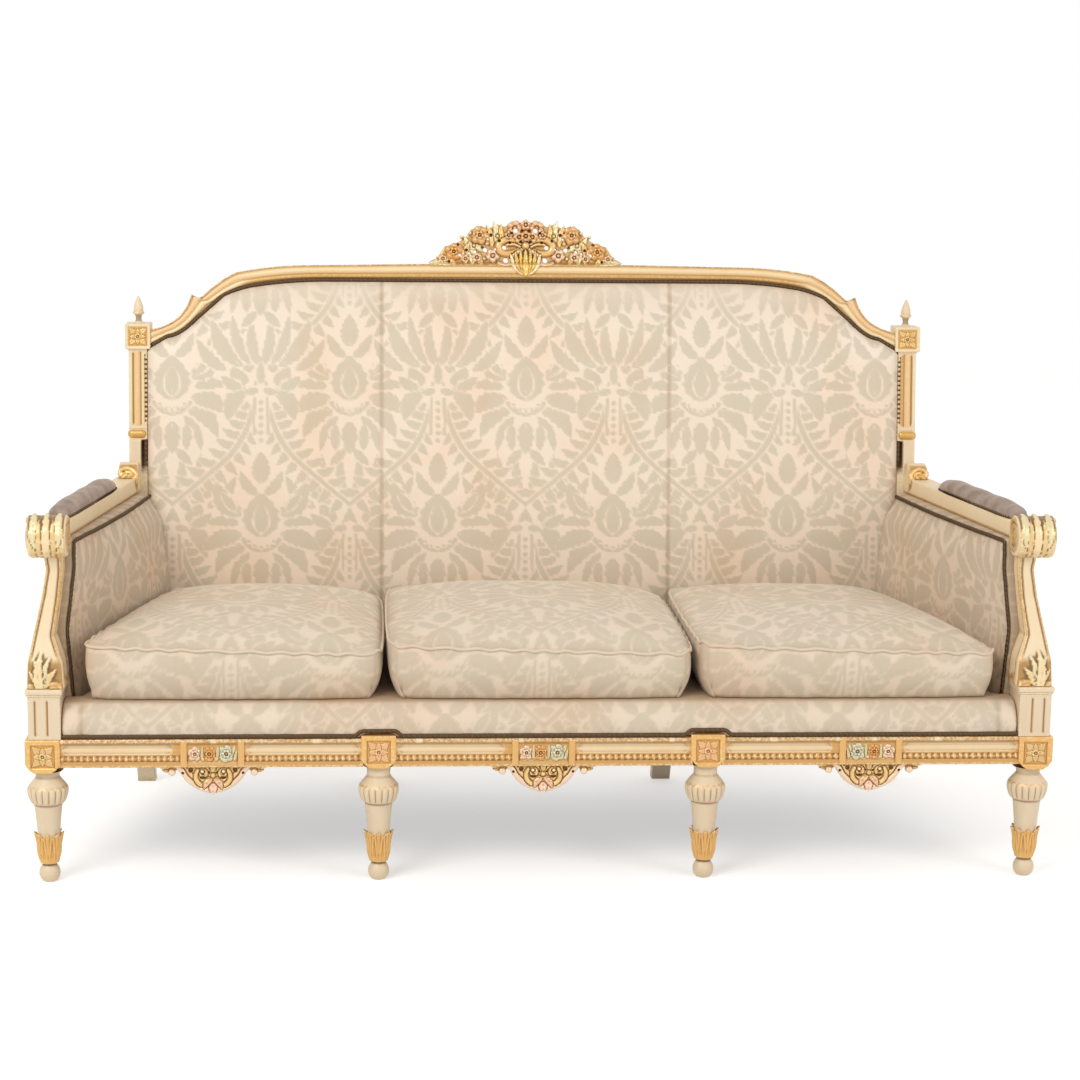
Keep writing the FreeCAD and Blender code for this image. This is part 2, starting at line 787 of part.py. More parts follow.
def lower_rail_tongue(name, grow):
    reach = stile_inner_x + size.tenon_length + grow
    low = up_the_back(size.back_lower_rail_top) - size.back_lower_rail_height + size.tenon_shoulder
    return box(name, -reach, (size.upright_front + size.upright_back - size.tenon_thickness) / 2 - grow,
               low - grow, reach * 2, size.tenon_thickness + grow * 2,
               size.back_lower_rail_height - size.tenon_shoulder * 2 + grow * 2)


finial_hole = rod("finial_hole", stile_x, front + finial_set_back, size.stile_block_top - size.dowel_length,
                  size.finial_dowel_radius + size.dowel_clearance, size.dowel_length * 2, (0, 0, 1))
upper_tile_x = stile_x - size.block_tile_width / 2
tile_margin = (size.stile_block_top - size.stile_block_bottom - size.block_tile_width) / 2
tile_low = size.stile_block_bottom + tile_margin
tile_high = size.stile_block_top - tile_margin
upper_tile = side_sawn("upper_tile_right", [
    (leaning_line(tile_low) - size.stile_block_proud, tile_low),
    (leaning_line(tile_low) - size.stile_block_proud + size.rosette_depth, tile_low),
    (leaning_line(tile_high) - size.stile_block_proud + size.rosette_depth, tile_high),
    (leaning_line(tile_high) - size.stile_block_proud, tile_high),
], size.block_tile_width)
bind(upper_tile, x=upper_tile_x, y=front)
keep("block_rosettes", group("block_rosettes", [upper_tile, mirrored("upper_tile_left", upper_tile)]))

post_waste = [finial_hole, upper_tile, side_mortise,
              rear_rail_tongue("rear_rail_mortise", size.tenon_clearance),
              lean(crest_tenon("crest_mortise", size.tenon_clearance)),
              lean(lower_rail_tongue("lower_rail_mortise", size.tenon_clearance))]
rear_post = cut("rear_post_right", fuse("rear_post_solid", [post_board, top_block, ring]), post_waste)
both_sides("rear_post", rear_post)

# Side rails follow the taper of the seat and stop against the leg block and the rear post
side_bar = along_the_side("side_bar", size.side_rail_thickness, size.rail_bottom, rail_height, 0)
side_stop = box("side_stop", 0, front + size.block_depth, 0, leg_outer_x + size.block_width,
                rear_rail_set_back - size.block_depth, size.rail_top)
side_rail = fuse("side_rail_right", [common("side_body", side_bar, side_stop), side_tongue("side_tenon", 0)])
both_sides("side_rail", side_rail)

# Finials: small turned knops with a dowel
finial = turned("finial_right", [
    (0, -size.dowel_length + 2),
    (size.finial_dowel_radius, -size.dowel_length + 2),
    (size.finial_dowel_radius, 0),
    (size.finial_radius, 0),
    (size.finial_radius, size.finial_height * 0.07),
    (size.finial_waist_radius, size.finial_height * 0.16),
    (size.finial_waist_radius, size.finial_height * 0.24),
    (size.finial_radius, size.finial_height * 0.46, size.finial_waist_radius, size.finial_height * 0.74),
    (1.2, size.finial_height),
    (0, size.finial_height),
])
bind(finial, x=stile_x, y=front + finial_set_back, z=size.stile_block_top)
both_sides("finial", finial)


# Crest rail: sawn to the curve of the back, with an ear where the hollow shoulder begins
def crest_places():
    """X of the stile block, the ear, the shoulder and the end of the level part."""
    face = stile_x - size.stile_block_width / 2
    return (face, face - size.crest_ear_reach, face - size.crest_shoulder_reach,
            face - size.crest_flat_reach)


def under_crest(inset):
    """The crest rail's inner edge, from the level part to the stile, drawn in by an inset.

    Shares of the ear and shoulder sizes place its points, each with its own part of the inset."""
    face, ear_x, shoulder_x, flat_x = crest_places()
    top = size.crest_height - size.crest_width
    slope = shoulder_x - flat_x
    step = ear_x - shoulder_x
    fall = size.crest_shoulder_drop
    ear_fall = size.crest_ear_drop

    def at(x, drop, inward, down):
        return x - inset * inward, up_the_back(top - drop) - inset * down

    level_end = at(flat_x - slope * 0.28, fall * 0, 0.2, 1)
    shoulder_start = at(shoulder_x - slope * 0.19, fall * 0.7, 0.3, 1)
    shoulder_end = at(shoulder_x - step * -0.26, fall * 1.6, 0.7, 0.7)
    ear_start = at(ear_x - step * 0.15, ear_fall * 1.23, 0.7, 0.7)
    ear_end = at(face - size.crest_ear_reach * 0.43, ear_fall * 1.8, 0.6, 0.9)
    return {
        "level_end": level_end,
        "shoulder_start": at(flat_x + slope * 0.43, fall * 0.2, 0.2, 1) + shoulder_start,
        "shoulder_end": at(shoulder_x, fall * 1.1, 0.4, 0.9) + shoulder_end,
        "ear_start": ear_start,
        "ear_end": at(ear_x + size.crest_ear_reach * 0.23, ear_fall * 1.65, 0.5, 0.9) + ear_end,
    }


def crest_outline():
    face, ear_x, shoulder_x, flat_x = crest_places()
    top = size.crest_height
    inner = under_crest(size.rail_top * 0)
    ear_top = top - size.crest_ear_drop
    reach = size.crest_ear_reach
    return [
        (0, up_the_back(top - size.crest_width)),
        inner["level_end"],
        inner["shoulder_start"],
        inner["shoulder_end"],
        inner["ear_start"],
        inner["ear_end"],
        (face, up_the_back(size.stile_block_bottom + size.tenon_shoulder * 0.2)),
        (face, up_the_back(size.stile_block_top - size.tenon_shoulder * 1.3)),
        (ear_x + reach * 0.33, up_the_back((ear_top + size.stile_block_top - reach / 2) / 2),
         ear_x, up_the_back(ear_top)),
        (ear_x - reach * 0.23, up_the_back(ear_top - reach * 0.07)),
        ((ear_x + shoulder_x - reach * 0.37) / 2, up_the_back(top - size.crest_ear_drop * 0.58),
         shoulder_x, up_the_back(top - size.crest_shoulder_drop)),
        ((shoulder_x + flat_x) / 2, up_the_back(top - size.crest_shoulder_drop * 0.44),
         flat_x, up_the_back(top - size.crest_flat_drop)),
        (size.carving_half_width * 1.06, up_the_back(top)),
        (0, up_the_back(top)),
    ]


def carving_dowels(name, grow):
    """The two dowels of the crest carving: they reach down into the crest rail."""
    return [rod(f"{name}_{index}", size.carving_half_width * share,
                size.carving_set_back + size.carving_depth / 2,
                up_the_back(size.crest_height) - size.dowel_length,
                size.finial_dowel_radius + grow, size.dowel_length * 1.8, (0, 0, 1))
            for index, share in enumerate((-0.5, 0.5))]


crest_half = fuse("crest_half", [front_sawn("crest_board", crest_outline(), size.crest_depth),
                                 crest_tenon("crest_end_tenon", 0)])
crest_whole = fuse("crest_whole", [crest_half, mirrored("crest_other_half", crest_half)])
crest_rail = cut("crest_rail", crest_whole, carving_dowels("crest_hole", size.dowel_clearance))
keep("crest_rail", lean(crest_rail))

# Crest carving: flowers and leaves in openwork, doweled on top of the crest rail
carving_base = up_the_back(size.crest_height)
carving_outline = arch_outline(size.carving_half_width, size.carving_height / cosine(size.back_lean),
                               int(size.carving_lobes.value), 1.7)
carving_board = front_sawn("carving_board", carving_outline, size.carving_depth)
bind(carving_board, y=size.carving_set_back, z=carving_base)
carving_waste = [rod(f"carving_gap_{index}", size.carving_half_width * across, 0,
                     carving_base + size.carving_height * up, size.carving_height * radius,
                     size.carving_depth * 2, (0, 1, 0))
                 for index, (across, up, radius) in enumerate((
                     (-0.07, 0.78, 0.05), (0.07, 0.78, 0.05), (-0.22, 0.45, 0.07), (0.22, 0.45, 0.07),
                     (-0.45, 0.38, 0.06), (0.45, 0.38, 0.06), (-0.66, 0.24, 0.05), (0.66, 0.24, 0.05)))]
carving_pierced = cut("carving_pierced", carving_board, carving_waste)
carving = fuse("crest_carving", [carving_pierced] + carving_dowels("carving_dowel", 0))
keep("crest_carving", lean(carving))

# Inside the back: a lower rail, two uprights behind the seams, and webbing in front of them
lower_rail_bottom = up_the_back(size.back_lower_rail_top) - size.back_lower_rail_height
lower_bar = box("lower_bar", -stile_inner_x, size.upright_front, lower_rail_bottom, stile_inner_x * 2,
                size.upright_back - size.upright_front, size.back_lower_rail_height)
lower_rail = fuse("back_lower_rail", [lower_bar, lower_rail_tongue("lower_rail_tenons", 0)])
keep("back_lower_rail", lean(lower_rail))

inner_top = up_the_back(size.crest_height - size.crest_width)
for place, x in (("right", size.seam_place), ("left", -size.seam_place)):
    upright = box(f"back_upright_{place}", x - size.upright_width / 2, size.upright_front,
                  up_the_back(size.back_lower_rail_top), size.upright_width,
                  size.upright_back - size.upright_front, inner_top - up_the_back(size.back_lower_rail_top))
    keep(f"back_upright_{place}", lean(upright))


def inside_outline(bottom, inset):
    """The opening of the back frame, drawn in by an inset, from the right side to the middle."""
    side = stile_inner_x - inset
    hollow = under_crest(inset + size.opening_clearance)
    turn_x = stile_x - size.stile_block_width / 2 - size.crest_ear_reach * 0.21 - inset * 0.7
    turn_up = up_the_back(size.crest_height - size.crest_width - size.crest_ear_drop * 2.03) - inset * 0.6
    return [
        (0, bottom),
        (side, bottom),
        (side, up_the_back(size.stile_block_bottom - size.stile_block_width * 0.45) - inset * 0.5),
        (turn_x, turn_up) + hollow["ear_end"][2:],
        hollow["ear_end"][:2] + hollow["ear_start"],
        hollow["shoulder_end"][2:],
        hollow["shoulder_end"][:2] + hollow["shoulder_start"][2:],
        hollow["shoulder_start"][:2] + hollow["level_end"],
        (0, up_the_back(size.crest_height - size.crest_width) - inset - size.opening_clearance),
    ]


def flat_sheet(name, bottom, inset, y, thickness):
    """A thin sheet that fills the opening of the back frame."""
    half = front_sawn(name + "_half", inside_outline(bottom, inset), thickness)
    bind(half, y=y)
    return lean(fuse(name, [half, mirrored(name + "_other_half", half)]))


clear = size.soft_clearance
keep("back_webbing", flat_sheet("back_webbing", lower_rail_bottom, clear,
                                size.upright_front - size.webbing_thickness, size.webbing_thickness))
cover_bottom = up_the_back(size.rail_top + size.cover_rise)
keep("outside_back_cover", flat_sheet("outside_back_cover", cover_bottom, clear, size.upright_back,
                                      size.cover_thickness))


# Back upholstery: one pad that swells out of the frame, drawn in at two sewn seams
def wire_of(corners, place):
    """A closed wire of lines and arcs, with place giving each corner its point in space."""
    points = [(place(*corner[-2:])) for corner in corners]
    edges = []
    for index, corner in enumerate(corners):
        if (points[index - 1] - points[index]).Length < 1e-6:
            continue
        if len(corner) == 4:
            edges.append(Part.Arc(points[index - 1], place(*corner[:2]), points[index]).toShape())
        else:
            edges.append(Part.LineSegment(points[index - 1], points[index]).toShape())
    return Part.Wire(edges)


def back_pad_half():
    """Half of the pad: its outline closes in step by step towards the crown."""
    back = size.upright_front.value - size.webbing_thickness.value - clear.value
    edge = size.back_pad_edge_crown.value
    full = size.back_pad_crown.value
    pad_bottom = up_the_back(size.deck_top) + clear
    outline = inside_outline(pad_bottom, clear * 2)
    low = pad_bottom.value + size.back_pad_crown.value * 3.75
    wires = []
    for share, y in ((1.0, back), (1.0, 0.0), (0.985, -edge * 0.75), (0.95, -edge), (0.82, -full * 0.9),
                     (0.7, -full)):
        wires.append(wire_of(outline, lambda across, up, share=share, y=y: FreeCAD.Vector(
            float(across) * share, y, low + (float(up) - low) * share)))
    return Part.makeLoft(wires, True, True)


def seam_groove(x):
    """A sewn seam: a shallow hollow that runs up the pad."""
    radius = size.seam_depth.value * 2
    front_of_pad = -size.back_pad_crown.value
    low = FreeCAD.Vector(x, front_of_pad - radius * 0.5, up_the_back(size.deck_top).value - 10)
    return Part.makeCylinder(radius, inner_top.value - low.z + 20, low)


half_pad = back_pad_half()
whole_pad = half_pad.fuse(half_pad.mirror(FreeCAD.Vector(), FreeCAD.Vector(1, 0, 0))).removeSplitter()
whole_pad = whole_pad.cut([seam_groove(size.seam_place.value), seam_groove(-size.seam_place.value)])
back_pad = shaped("back_upholstery", whole_pad)
keep("back_upholstery", lean(back_pad))


# Nail trim round the back: a close row of domed nails on the frame's inner edge
def band(outer, inner, place, push):
    """A thin band between two outlines."""
    return Part.Face(wire_of(outer, place)).cut(Part.Face(wire_of(inner, place))).extrude(push)


nail_low = up_the_back(size.back_nail_start)
nail_wide = size.nail_width
nail_half = band(inside_outline(nail_low, -nail_wide - clear), inside_outline(nail_low - 1, -clear),
                 lambda across, up: FreeCAD.Vector(float(across), 0, float(up)),
                 FreeCAD.Vector(0, -size.nail_thickness.value, 0))
nail_both = nail_half.fuse(nail_half.mirror(FreeCAD.Vector(), FreeCAD.Vector(1, 0, 0))).removeSplitter()
nail_rows = lean(shaped("back_nail_rows", nail_both))
keep("back_nails", cut("back_nails", nail_rows, [rear_post, sub_parts["rear_post_left"]]))


# Arm supports: carved from the solid, swept in towards the scroll, tenoned into the corner post
def rounded_rectangle(left, right, near, far, height, corner):
    """A horizontal rectangle with round corners."""
    def at(x, y):
        return FreeCAD.Vector(x, y, height)
    turn = corner * (1 - math.sqrt(0.5))
    edges = [
        Part.LineSegment(at(left + corner, near), at(right - corner, near)),
        Part.Arc(at(right - corner, near), at(right - turn, near + turn), at(right, near + corner)),
        Part.LineSegment(at(right, near + corner), at(right, far - corner)),
        Part.Arc(at(right, far - corner), at(right - turn, far - turn), at(right - corner, far)),
        Part.LineSegment(at(right - corner, far), at(left + corner, far)),
        Part.Arc(at(left + corner, far), at(left + turn, far - turn), at(left, far - corner)),
        Part.LineSegment(at(left, far - corner), at(left, near + corner)),
        Part.Arc(at(left, near + corner), at(left + turn, near + turn), at(left + corner, near)),
    ]
    return Part.Wire([edge.toShape() for edge in edges])


scroll_x = leg_outer_x - size.arm_scroll_place
scroll_bottom = size.arm_scroll_height - size.arm_scroll_radius
front_value = front.value
support_top = scroll_bottom.value
base_x = leg_outer_x.value - size.support_base_place.value
waist_x = leg_outer_x.value + size.support_waist_place.value
neck_x = leg_outer_x.value - size.support_neck_place.value
hollow = size.support_hollow.value
near_base = front_value + size.post_set_back.value * 3
near_neck = near_base + hollow
far = front_value + post_back.value
base_half = size.support_base_width.value / 2
waist_half = size.support_waist_width.value / 2
neck_half = size.support_neck_width.value / 2
waist_z = size.support_waist_height.value
neck_z = support_top - size.support_neck_drop.value
cap_z = cap_top.value
round_edge = size.support_round.value
swing = 0.63
turn_x = waist_x + (neck_x - waist_x) * swing
turn_half = waist_half + (neck_half - waist_half) * swing
support_sections = [
    rounded_rectangle(base_x - base_half, base_x + base_half, near_base, far, cap_z, round_edge * 0.7),
    rounded_rectangle(base_x - base_half * 0.9, base_x + base_half * 0.95, near_base + hollow * 0.12, far,
                      cap_z + (waist_z - cap_z) * 0.5, round_edge * 0.9),
    rounded_rectangle(waist_x - waist_half, waist_x + waist_half, near_base + hollow * 0.56, far,
                      waist_z, round_edge),
    rounded_rectangle(turn_x - turn_half, turn_x + turn_half, near_neck, far,
                      waist_z + (neck_z - waist_z) * 0.58, round_edge),
    rounded_rectangle(neck_x - neck_half, neck_x + neck_half, near_neck, far, neck_z, round_edge),
    rounded_rectangle(neck_x - neck_half, neck_x + neck_half * 1.2, near_neck - hollow * 0.12, far,
                      support_top, round_edge),
]
support_blank = shaped("support_blank", Part.makeLoft(support_sections, True, True))


def upper_tenon(name, grow):
    """The tenon on top of an arm support, which enters the scroll."""
    half = size.tenon_thickness / 2 + grow
    x = leg_outer_x - size.support_neck_place
    y = front + post_back - size.arm_rest_width / 2
    return box(name, x - half, y - half, scroll_bottom - size.tenon_length, half * 2, half * 2,
               size.tenon_length * 2 + grow)


arm_support = fuse("arm_support_right", [support_blank, support_tenon("support_foot_tenon", 0),
                                         upper_tenon("support_head_tenon", 0)])
both_sides("arm_support", arm_support)

# Arm rests: a rail from the rear stile to a scroll, with a leaf scroll at the stile
rest_run = size.arm_rear_set_back - size.arm_scroll_set_back
rest_taper = scroll_x - stile_x - size.arm_rear_place
rest_angle = angle_of(rest_taper, rest_run)
rest_top = arm_rest_bottom + size.arm_rest_thickness


def along_the_rest(item):
    """Turn a piece that was made along Y so that it lies on the arm rest's line."""
    item.Placement = FreeCAD.Placement(FreeCAD.Vector(), FreeCAD.Rotation(FreeCAD.Vector(0, 0, 1), 5))
    bind(item, x=scroll_x, y=front + size.arm_scroll_set_back, turn=rest_angle)
    return item


rest_bar = doc.addObject("Part::Box", "rest_bar")
bind(rest_bar, Length=size.arm_rest_width, Width=rest_run / cosine(rest_angle) + size.stile_depth / 2,
     Height=size.arm_rest_thickness, x=-size.arm_rest_width / 2, z=arm_rest_bottom)
rest_turned = along_the_rest(group("rest_turned", [rest_bar]))
scroll = rod("arm_scroll", scroll_x - size.arm_scroll_width / 2, front + size.arm_scroll_set_back,
             size.arm_scroll_height, size.arm_scroll_radius, size.arm_scroll_width, (1, 0, 0))
scroll_seat = box("scroll_seat", leg_outer_x - size.support_neck_place - size.support_neck_width / 2,
                  front + size.arm_scroll_set_back, scroll_bottom, size.support_neck_width,
                  post_back - size.arm_scroll_set_back, arm_rest_bottom - scroll_bottom)
leaf_scroll = rod("leaf_scroll", stile_x + size.arm_rear_place - size.arm_leaf_width / 2,
                  front + size.arm_leaf_set_back, size.arm_scroll_height + size.arm_leaf_rise,
                  size.arm_leaf_radius,
                  size.arm_leaf_width, (1, 0, 0))
rest_solid = fuse("rest_solid", [rest_turned, scroll, scroll_seat, leaf_scroll])
both_sides("arm_rest", cut("arm_rest_right", rest_solid,
                           [rear_post, upper_tenon("support_head_socket", size.tenon_clearance)]))


# Arm pads: velvet over stuffing, crowned across and rounded at both ends
def pad_arch(along, half_width, height):
    """An upright arch across the arm: a straight base, short sides and a crown."""
    def at(x, z):
        return FreeCAD.Vector(x, size.arm_pad_start.value + along, rest_top.value + clear.value + z)
    shoulder = height * 0.45
    edges = [
        Part.LineSegment(at(-half_width, 0), at(half_width, 0)),
        Part.LineSegment(at(half_width, 0), at(half_width, shoulder)),
        Part.Arc(at(half_width, shoulder), at(0, height), at(-half_width, shoulder)),
        Part.LineSegment(at(-half_width, shoulder), at(-half_width, 0)),
    ]
    return Part.Wire([edge.toShape() for edge in edges])


pad_half = size.arm_pad_width.value / 2
pad_height = size.arm_pad_height.value
pad_length = size.arm_pad_length.value
pad_loft = Part.makeLoft([
    pad_arch(0, pad_half * 0.7, pad_height * 0.45),
    pad_arch(pad_length * 0.05, pad_half * 0.96, pad_height * 0.86),
    pad_arch(pad_length * 0.16, pad_half, pad_height),
    pad_arch(pad_length * 0.84, pad_half, pad_height),
    pad_arch(pad_length * 0.95, pad_half * 0.96, pad_height * 0.86),
    pad_arch(pad_length, pad_half * 0.7, pad_height * 0.45),
], True, True)
arm_pad = shaped("arm_pad_right", pad_loft)
both_sides("arm_pad", along_the_rest(arm_pad))


# Arm panels: stuffing and cover between the support, the rest and the seat.
# The inner face swells inwards and runs from the support to the back.
def arm_heights():
    low = size.rail_top.value + clear.value
    high = arm_rest_bottom.value - clear.value
    middle = size.support_waist_height.value
    upper = neck_z
    return low, middle, upper, high


def inner_line(share):
    """X of the panel's inner face at the four heights; share runs 0 at the front to 1 at the back."""
    leg_x = leg_outer_x.value
    start = leg_x - size.arm_inner_front_place.value
    bulge = size.arm_inner_bulge.value
    front_xs = (start, start + bulge, start - bulge * 0.15, start - bulge * 0.2)
    rear = stile_x.value - size.arm_inner_rear_place.value
    top = stile_x.value - size.arm_inner_top_place.value
    rear_xs = (rear, rear, (rear * 2 + top) / 3, top)
    return [a + (b - a) * share for a, b in zip(front_xs, rear_xs)]


def outer_line(share):
    """X of the surface between the panel and the outside cover."""
    leg_x = leg_outer_x.value
    half_rail = size.side_rail_thickness.value / 2
    upper = leg_x - size.support_neck_place.value
    front_xs = (leg_x + half_rail * 0.4, leg_x + half_rail * 0.8, upper, upper - half_rail * 0.2)
    rear_xs = [stile_x.value + half_rail * 0.5] * 4
    return [a + (b - a) * share for a, b in zip(front_xs, rear_xs)]


def arm_section(share, near_line, far_line):
    """An upright closed outline across the arm."""
    start = front.value + post_back.value + clear.value
    points = []
    for x, z in list(zip(near_line, arm_heights())) + list(zip(far_line, arm_heights()))[::-1]:
        finish = front.value + leaning_line(as_size(z)).value - size.back_pad_edge_crown.value * 1.3
        points.append(FreeCAD.Vector(x, start + (finish - start) * share, z))
    return Part.makePolygon(points + points[:1])


def arm_swell(share):
    """The inner face stands prouder in the middle of its length."""
    swell = size.arm_inner_swell.value * math.sin(math.pi * share)
    return [x - swell for x in inner_line(share)]


panel_shares = (0.0, 0.3, 0.6, 0.85, 1.0)
panel_loft = Part.makeLoft([arm_section(share, arm_swell(share), outer_line(share))
                            for share in panel_shares], True, True)
arm_panel = shaped("arm_panel_right", panel_loft)
both_sides("arm_panel", arm_panel)

cover_offset = clear.value
cover_thick = size.arm_cover_thickness.value
cover_loft = Part.makeLoft([
    arm_section(share, [x + cover_offset for x in outer_line(share)],
                [x + cover_offset + cover_thick for x in outer_line(share)])
    for share in (0.0, 1.0)], True, True)
arm_cover = shaped("arm_cover_right", cover_loft)
both_sides("arm_cover", arm_cover)


# Nail trim on each arm: up the front edge of the inner panel
trim_share = size.nail_width.value / (size.back_set_back.value - post_back.value)
front_share = panel_shares[1]


def straight_between(share):
    """The panel is ruled between its first two sections, so the trim follows that line."""
    first, second = arm_swell(0.0), arm_swell(front_share)
    return [a + (b - a) * share / front_share for a, b in zip(first, second)]


trim_loft = Part.makeLoft([
    arm_section(share, [x - clear.value - size.nail_thickness.value for x in straight_between(share)],
                [x - clear.value for x in straight_between(share)])
    for share in (0.0, trim_share)], True, True)
arm_nails = shaped("arm_nails_right", trim_loft)
both_sides("arm_nails", arm_nails)


# Seat: webbing, dust cloth and braces inside the rails
def side_line(set_back, inward):
    """X of the side rail's middle at a set-back, less an inward distance."""
    return leg_outer_x - (set_back - size.leg_set_back) * size.side_taper / side_run - inward


inside_rail = size.side_rail_thickness / 2 / cosine(side_angle) + clear


def seat_sheet(name, bottom, thickness):
    start = size.block_depth + clear
    finish = rear_rail_set_back - clear
    sheet_board = plan_sawn(name, [
        (-side_line(start, inside_rail), start),
        (side_line(start, inside_rail), start),
        (side_line(finish, inside_rail), finish),
        (-side_line(finish, inside_rail), finish),
    ], thickness)
    bind(sheet_board, y=front, z=bottom)
    return sheet_board


keep("seat_webbing", seat_sheet("seat_webbing", size.cross_rail_top, size.webbing_thickness))
keep("dust_cloth", seat_sheet("dust_cloth", size.cross_rail_bottom - size.dust_cloth_thickness,
                              size.dust_cloth_thickness))

front_rail_back = size.rail_set_back + size.rail_thickness
brace_height = size.brace_top - size.brace_bottom
brace_long = size.brace_size * 1.6
front_brace = plan_sawn("front_brace_board", [(0, 0), (brace_long, 0), (brace_long, brace_long)],
                        brace_height)
bind(front_brace, x=leg_outer_x - size.brace_size, y=front + front_rail_back, z=size.brace_bottom)
rear_brace = plan_sawn("rear_brace_board", [(brace_long, -brace_long), (brace_long, 0), (0, 0)], brace_height)
bind(rear_brace, x=stile_x - size.brace_size, y=front + rear_rail_set_back, z=size.brace_bottom)
brace_waste = [
    front_block("brace_leg_waste", block_outer_x, size.outer_block_bottom, size.outer_block_top),
    front_block("brace_turning_waste", leg_outer_x, size.outer_block_bottom, size.outer_block_top),
    along_the_side("brace_rail_waste", size.side_rail_thickness, size.rail_bottom, rail_height, 0),
]
brace_inside = plan_sawn("brace_inside", [
    (0, 0),
    (side_line(front_rail_back, 0), 0),
    (side_line(rear_rail_set_back, 0), rear_rail_set_back - front_rail_back),
    (0, rear_rail_set_back - front_rail_back),
], rail_height)
bind(brace_inside, y=front + front_rail_back, z=size.rail_bottom)
for place, board in (("front", front_brace), ("rear", rear_brace)):
    inside = common(f"{place}_brace_inside", board, brace_inside)
    brace = cut(f"corner_brace_{place}_right", inside, brace_waste)
    both_sides(f"corner_brace_{place}", brace)


# Seat deck: stuffing over the webbing, with a rolled front edge between the corner posts
def deck_plan():
    behind = post_back + clear
    deck_side = leg_outer_x - size.post_width / 2 - clear
    swell = size.arm_inner_swell * 1.2
    panel_front = leg_outer_x - size.arm_inner_front_place - clear - swell
    panel_rear = stile_x - size.arm_inner_rear_place - clear - swell
    rear = rear_rail_set_back - clear
    return [
        (-deck_side, 0),
        (deck_side, 0),
        (deck_side, behind),
        (panel_front, behind),
        (panel_rear, rear),
        (-panel_rear, rear),
        (-panel_front, behind),
        (-deck_side, behind),
    ]


deck_low = size.rail_top + clear
deck_face = size.deck_front_set_back
deck_profile = side_sawn("deck_profile", [
    (deck_face, deck_low),
    (rear_rail_set_back, deck_low),
    (rear_rail_set_back, size.deck_top),
    (deck_face + size.deck_roll, size.deck_top),
    (deck_face + size.deck_roll * 0.22, (deck_low + size.deck_top * 2) / 3 + size.deck_roll * 0.1,
     deck_face, deck_low + size.deck_roll * 0.3),
], leg_outer_x * 2)
bind(deck_profile, x=-leg_outer_x, y=front)
deck_outline = plan_sawn("deck_outline", deck_plan(), size.deck_top)
bind(deck_outline, y=front)
deck_notches = [box(f"deck_notch_{place}", x - half_block - clear, front, size.rail_bottom,
                    size.block_width + clear * 2, size.block_depth + clear,
                    size.inner_block_top + clear - size.rail_bottom)
                for place, x in (("right", leg_inner_x), ("left", -leg_inner_x))]
keep("seat_deck", cut("seat_deck", common("deck_body", deck_profile, deck_outline), deck_notches))

# Nail trim along the front of the deck, which steps up over the inner blocks
nail_y = front + deck_face - clear - size.nail_thickness
nail_z = size.rail_top + clear
step_z = size.inner_block_top + clear
step_half = half_block + clear + nail_wide
trim_end = leg_outer_x - size.post_width / 2 - clear
seat_trim = []


def trim_bar(name, x, z, width, height):
    seat_trim.append(box(name, x, nail_y, z, width, size.nail_thickness, height))


trim_start = leg_inner_x + half_block + clear
trim_inner = leg_inner_x - half_block - clear
trim_bar("trim_centre", -trim_inner, nail_z, trim_inner * 2, nail_wide)
trim_bar("trim_right", trim_start, nail_z, trim_end - trim_start, nail_wide)
trim_bar("trim_left", -trim_end, nail_z, trim_end - trim_start, nail_wide)
for place, x in (("right", leg_inner_x), ("left", -leg_inner_x)):
    trim_bar(f"trim_step_{place}", x - step_half, step_z, step_half * 2, nail_wide)
keep("seat_nails", fuse("seat_nails", seat_trim))


# Loose cushions: feather-filled, boxed and piped, with drawn-in sides and a crown
def cushion_section(corners, inset, height, draw_in):
    """A level outline whose four sides curve inwards between the corners."""
    centre = sum(corners, FreeCAD.Vector()) * 0.25
    points = []
    for corner in corners:
        reach = corner - centre
        points.append(FreeCAD.Vector(corner.x - math.copysign(inset, reach.x),
                                     corner.y - math.copysign(inset, reach.y), height))
    edges = []
    for index, point in enumerate(points):
        following = points[(index + 1) % len(points)]
        middle = (point + following) * 0.5
        inward = FreeCAD.Vector(centre.x - middle.x, centre.y - middle.y, 0).normalize() * draw_in
        edges.append(Part.Arc(point, middle + inward, following).toShape())
    return Part.Wire(edges)


def cushion(left_front, right_front, left_rear, right_rear, crown):
    near = front.value + size.cushion_front_set_back.value
    rear = near + size.cushion_depth.value
    corners = [FreeCAD.Vector(left_front, near, 0), FreeCAD.Vector(right_front, near, 0),
               FreeCAD.Vector(right_rear, rear, 0), FreeCAD.Vector(left_rear, rear, 0)]
    base = size.deck_top.value + clear.value
    tall = size.cushion_height.value
    drawn = size.cushion_draw.value
    narrow = min(right_front - left_front, right_rear - left_rear, rear - near) / 2
    sections = [
        cushion_section(corners, tall * 0.34, base, drawn * 0.6),
        cushion_section(corners, tall * 0.08, base + tall * 0.16, drawn),
        cushion_section(corners, tall * 0.005, base + tall * 0.5, drawn),
        cushion_section(corners, tall * 0.03, base + tall * 0.86, drawn),
        cushion_section(corners, tall * 0.14, base + tall, drawn * 0.8),
        cushion_section(corners, narrow * 0.28, base + tall + crown * 0.62, drawn * 0.5),
        cushion_section(corners, narrow * 0.6, base + tall + crown * 0.95, drawn * 0.3),
        cushion_section(corners, narrow * 0.88, base + tall + crown, drawn * 0.2),
    ]
    return Part.makeLoft(sections, True, True)


